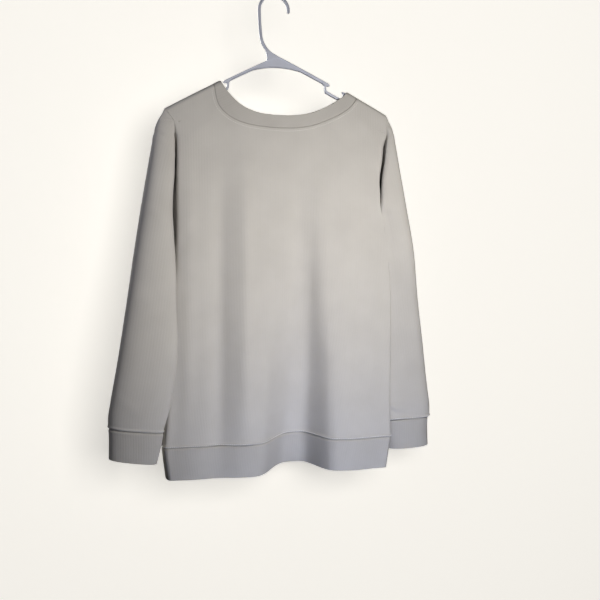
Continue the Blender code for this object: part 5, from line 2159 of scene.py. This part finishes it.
@dataclass
class Studio:
    """Camera, lights, white paper close behind the garment and a pale floor."""

    eye: Point = (-0.45222, -1.78238, -0.44756)
    target: Point = (0.04879, 0.0, -0.54459)
    lens: float = 60.66
    paper_y: float = 0.118
    floor_z: float = -1.36
    reach: float = 3.0  # half the paper's width, and its top
    ambient: float = 0.02  # the surroundings as a light, and as they look
    seen: float = 0.92
    lamps: tuple[Lamp, ...] = (
        Lamp("key", (0.244, -0.776, -0.42), (0.05, 0.0, -0.42), (0.35, 0.35), 2.74, "#FFFBF4",
             beam=120.0),
        Lamp("low_cool", (0.12, -0.50, -1.15), (0.12, 0.0, -0.84), (0.5, 0.2), 0.46, "#C9D8FF",
             beam=80.0),
        Lamp("high_left", (-0.850, -0.240, 0.10), (0.0, 0.0, -0.42), (0.45, 0.45), 1.35, "#EEF0FF"),
        Lamp("rear_fill", (-0.5, 1.4, 0.1), (0.0, 0.0, -0.5), (0.9, 0.9), 15.0, "#FFFDF8"),
        Lamp("paper_key", (0.16, -3.0, 0.02), (0.0, 0.0, -0.5), (1.9, 1.6), 50.0, "#FFFCF7",
             onto=Onto.PAPER),
    )

    def camera(self) -> None:
        """Set the camera at its place."""
        data = bpy.data.cameras.new("camera")
        data.lens = self.lens
        data.sensor_width = 36.0
        made = new_object("camera", data)
        aim(made, self.eye, self.target)
        bpy.context.scene.camera = made

    def sheet(self, name: str, corners: Sequence[Point], look: Material) -> Object:
        """A flat stage sheet."""
        mesh = bpy.data.meshes.new(name)
        mesh.from_pydata(corners, [], [(0, 1, 2, 3)])
        made = place_piece(name, mesh, look)
        return made

    def world(self) -> None:
        """Even pale surroundings, brighter to look at than as a light."""
        made = bpy.data.worlds.new("studio")
        made.use_nodes = True
        tree = made.node_tree
        tree.nodes.clear()
        seen = add_node(tree, "ShaderNodeLightPath").outputs["Is Camera Ray"]
        strength = add_node(tree, "ShaderNodeMapRange", None,
                            {"Value": seen, "To Min": self.ambient, "To Max": self.seen}).outputs[0]
        glow = add_node(tree, "ShaderNodeBackground", None,
                        {"Color": linear("#FBF9F6"), "Strength": strength})
        add_node(tree, "ShaderNodeOutputWorld", None, {"Surface": glow.outputs[0]})
        bpy.context.scene.world = made

    def build(self, pieces: Sequence[Object]) -> None:
        """Set up everything around the garment.

        Args:
            pieces: what the garment's lamps light.
        """
        bpy.context.scene.view_settings.view_transform = "Standard"
        self.camera()
        self.world()
        y, z, r = self.paper_y, self.floor_z, self.reach
        paper = BackdropFinish("paper_backdrop").build()
        floor = BackdropFinish("paper_floor", colour="#F1EFEA", glow=0.30).build()
        papers = [
            self.sheet("backdrop", [(-r, y, z), (r, y, z), (r, y, r), (-r, y, r)], paper),
            self.sheet("floor", [(-r, -r, z), (r, -r, z), (r, r, z), (-r, r, z)], floor),
        ]
        groups = {Onto.GARMENT: pieces, Onto.PAPER: papers}
        lit = {onto: bpy.data.collections.new(f"lit_{onto.value}") for onto in groups}
        for onto, things in groups.items():
            for thing in things:
                lit[onto].objects.link(thing)
        for lamp in self.lamps:
            lamp.build(lit[lamp.onto])
        LOG.info("studio: %d lights", len(self.lamps))


def main() -> None:
    """Build the pieces in order and report each."""
    logging.basicConfig(level=logging.INFO, format="%(name)s %(message)s")
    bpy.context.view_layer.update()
    form = Form()
    back_neck = Neckline(BACK_NECK, form.arm)
    front_neck = Neckline(FRONT_NECK, form.arm)
    finish = Finishes.make()
    pieces = [
        Panel(Face.BACK, back_neck, BACK_CREASES, Cut(0.530, 0.650, 0.270), form, "back_panel"),
        Panel(Face.FRONT, front_neck, FRONT_CREASES, Cut(0.530, 0.650, 0.262), form, "front_panel"),
        Sleeve(Hand.LEFT, LEFT_SLEEVE, LEFT_TILT, LEFT_SLEEVE_CREASES, Cut(0.260, 0.570, 0.108),
               form, "sleeve_left"),
        Sleeve(Hand.RIGHT, RIGHT_SLEEVE, RIGHT_TILT, RIGHT_SLEEVE_CREASES, Cut(0.260, 0.580, 0.102),
               form, "sleeve_right", outer_power=3.8, inner_power=6.5),
    ]
    made = [piece.build(finish.fleece) for piece in pieces]
    bands = [
        Cuff(Hand.LEFT, LEFT_CUFF, LEFT_TILT, Cut(0.225, 0.054, 0.0121), form, "cuff_left",
             "sleeve_left_cloth"),
        Cuff(Hand.RIGHT, RIGHT_CUFF, RIGHT_TILT, Cut(0.225, 0.056, 0.0126), form, "cuff_right",
             "sleeve_right_cloth"),
        HemBand(Cut(1.07, 0.0575, 0.0615), form),
        Neckband(back_neck, front_neck, Cut(0.70, 0.0270, 0.0176), form),
    ]
    made += [band.build(finish.rib) for band in bands]
    back, front, left, right = (piece.wall() for piece in pieces)
    rows = [
        CoverStitch.at_neck(form, back_neck, Face.BACK),
        CoverStitch.at_neck(form, front_neck, Face.FRONT),
        CoverStitch.above("hem_stitches_back", back, 1.0, form.cloth),
        CoverStitch.above("hem_stitches_front", front, -1.0, form.cloth),
        CoverStitch.above("cuff_stitches_left", left, 1.0, form.cloth),
        CoverStitch.above("cuff_stitches_right", right, 1.0, form.cloth),
    ]
    made += [row.build(finish.thread) for row in rows]
    made.append(HangerDress().build(finish.plastic))
    Studio().build(made)


if __name__ == "__main__":
    main()
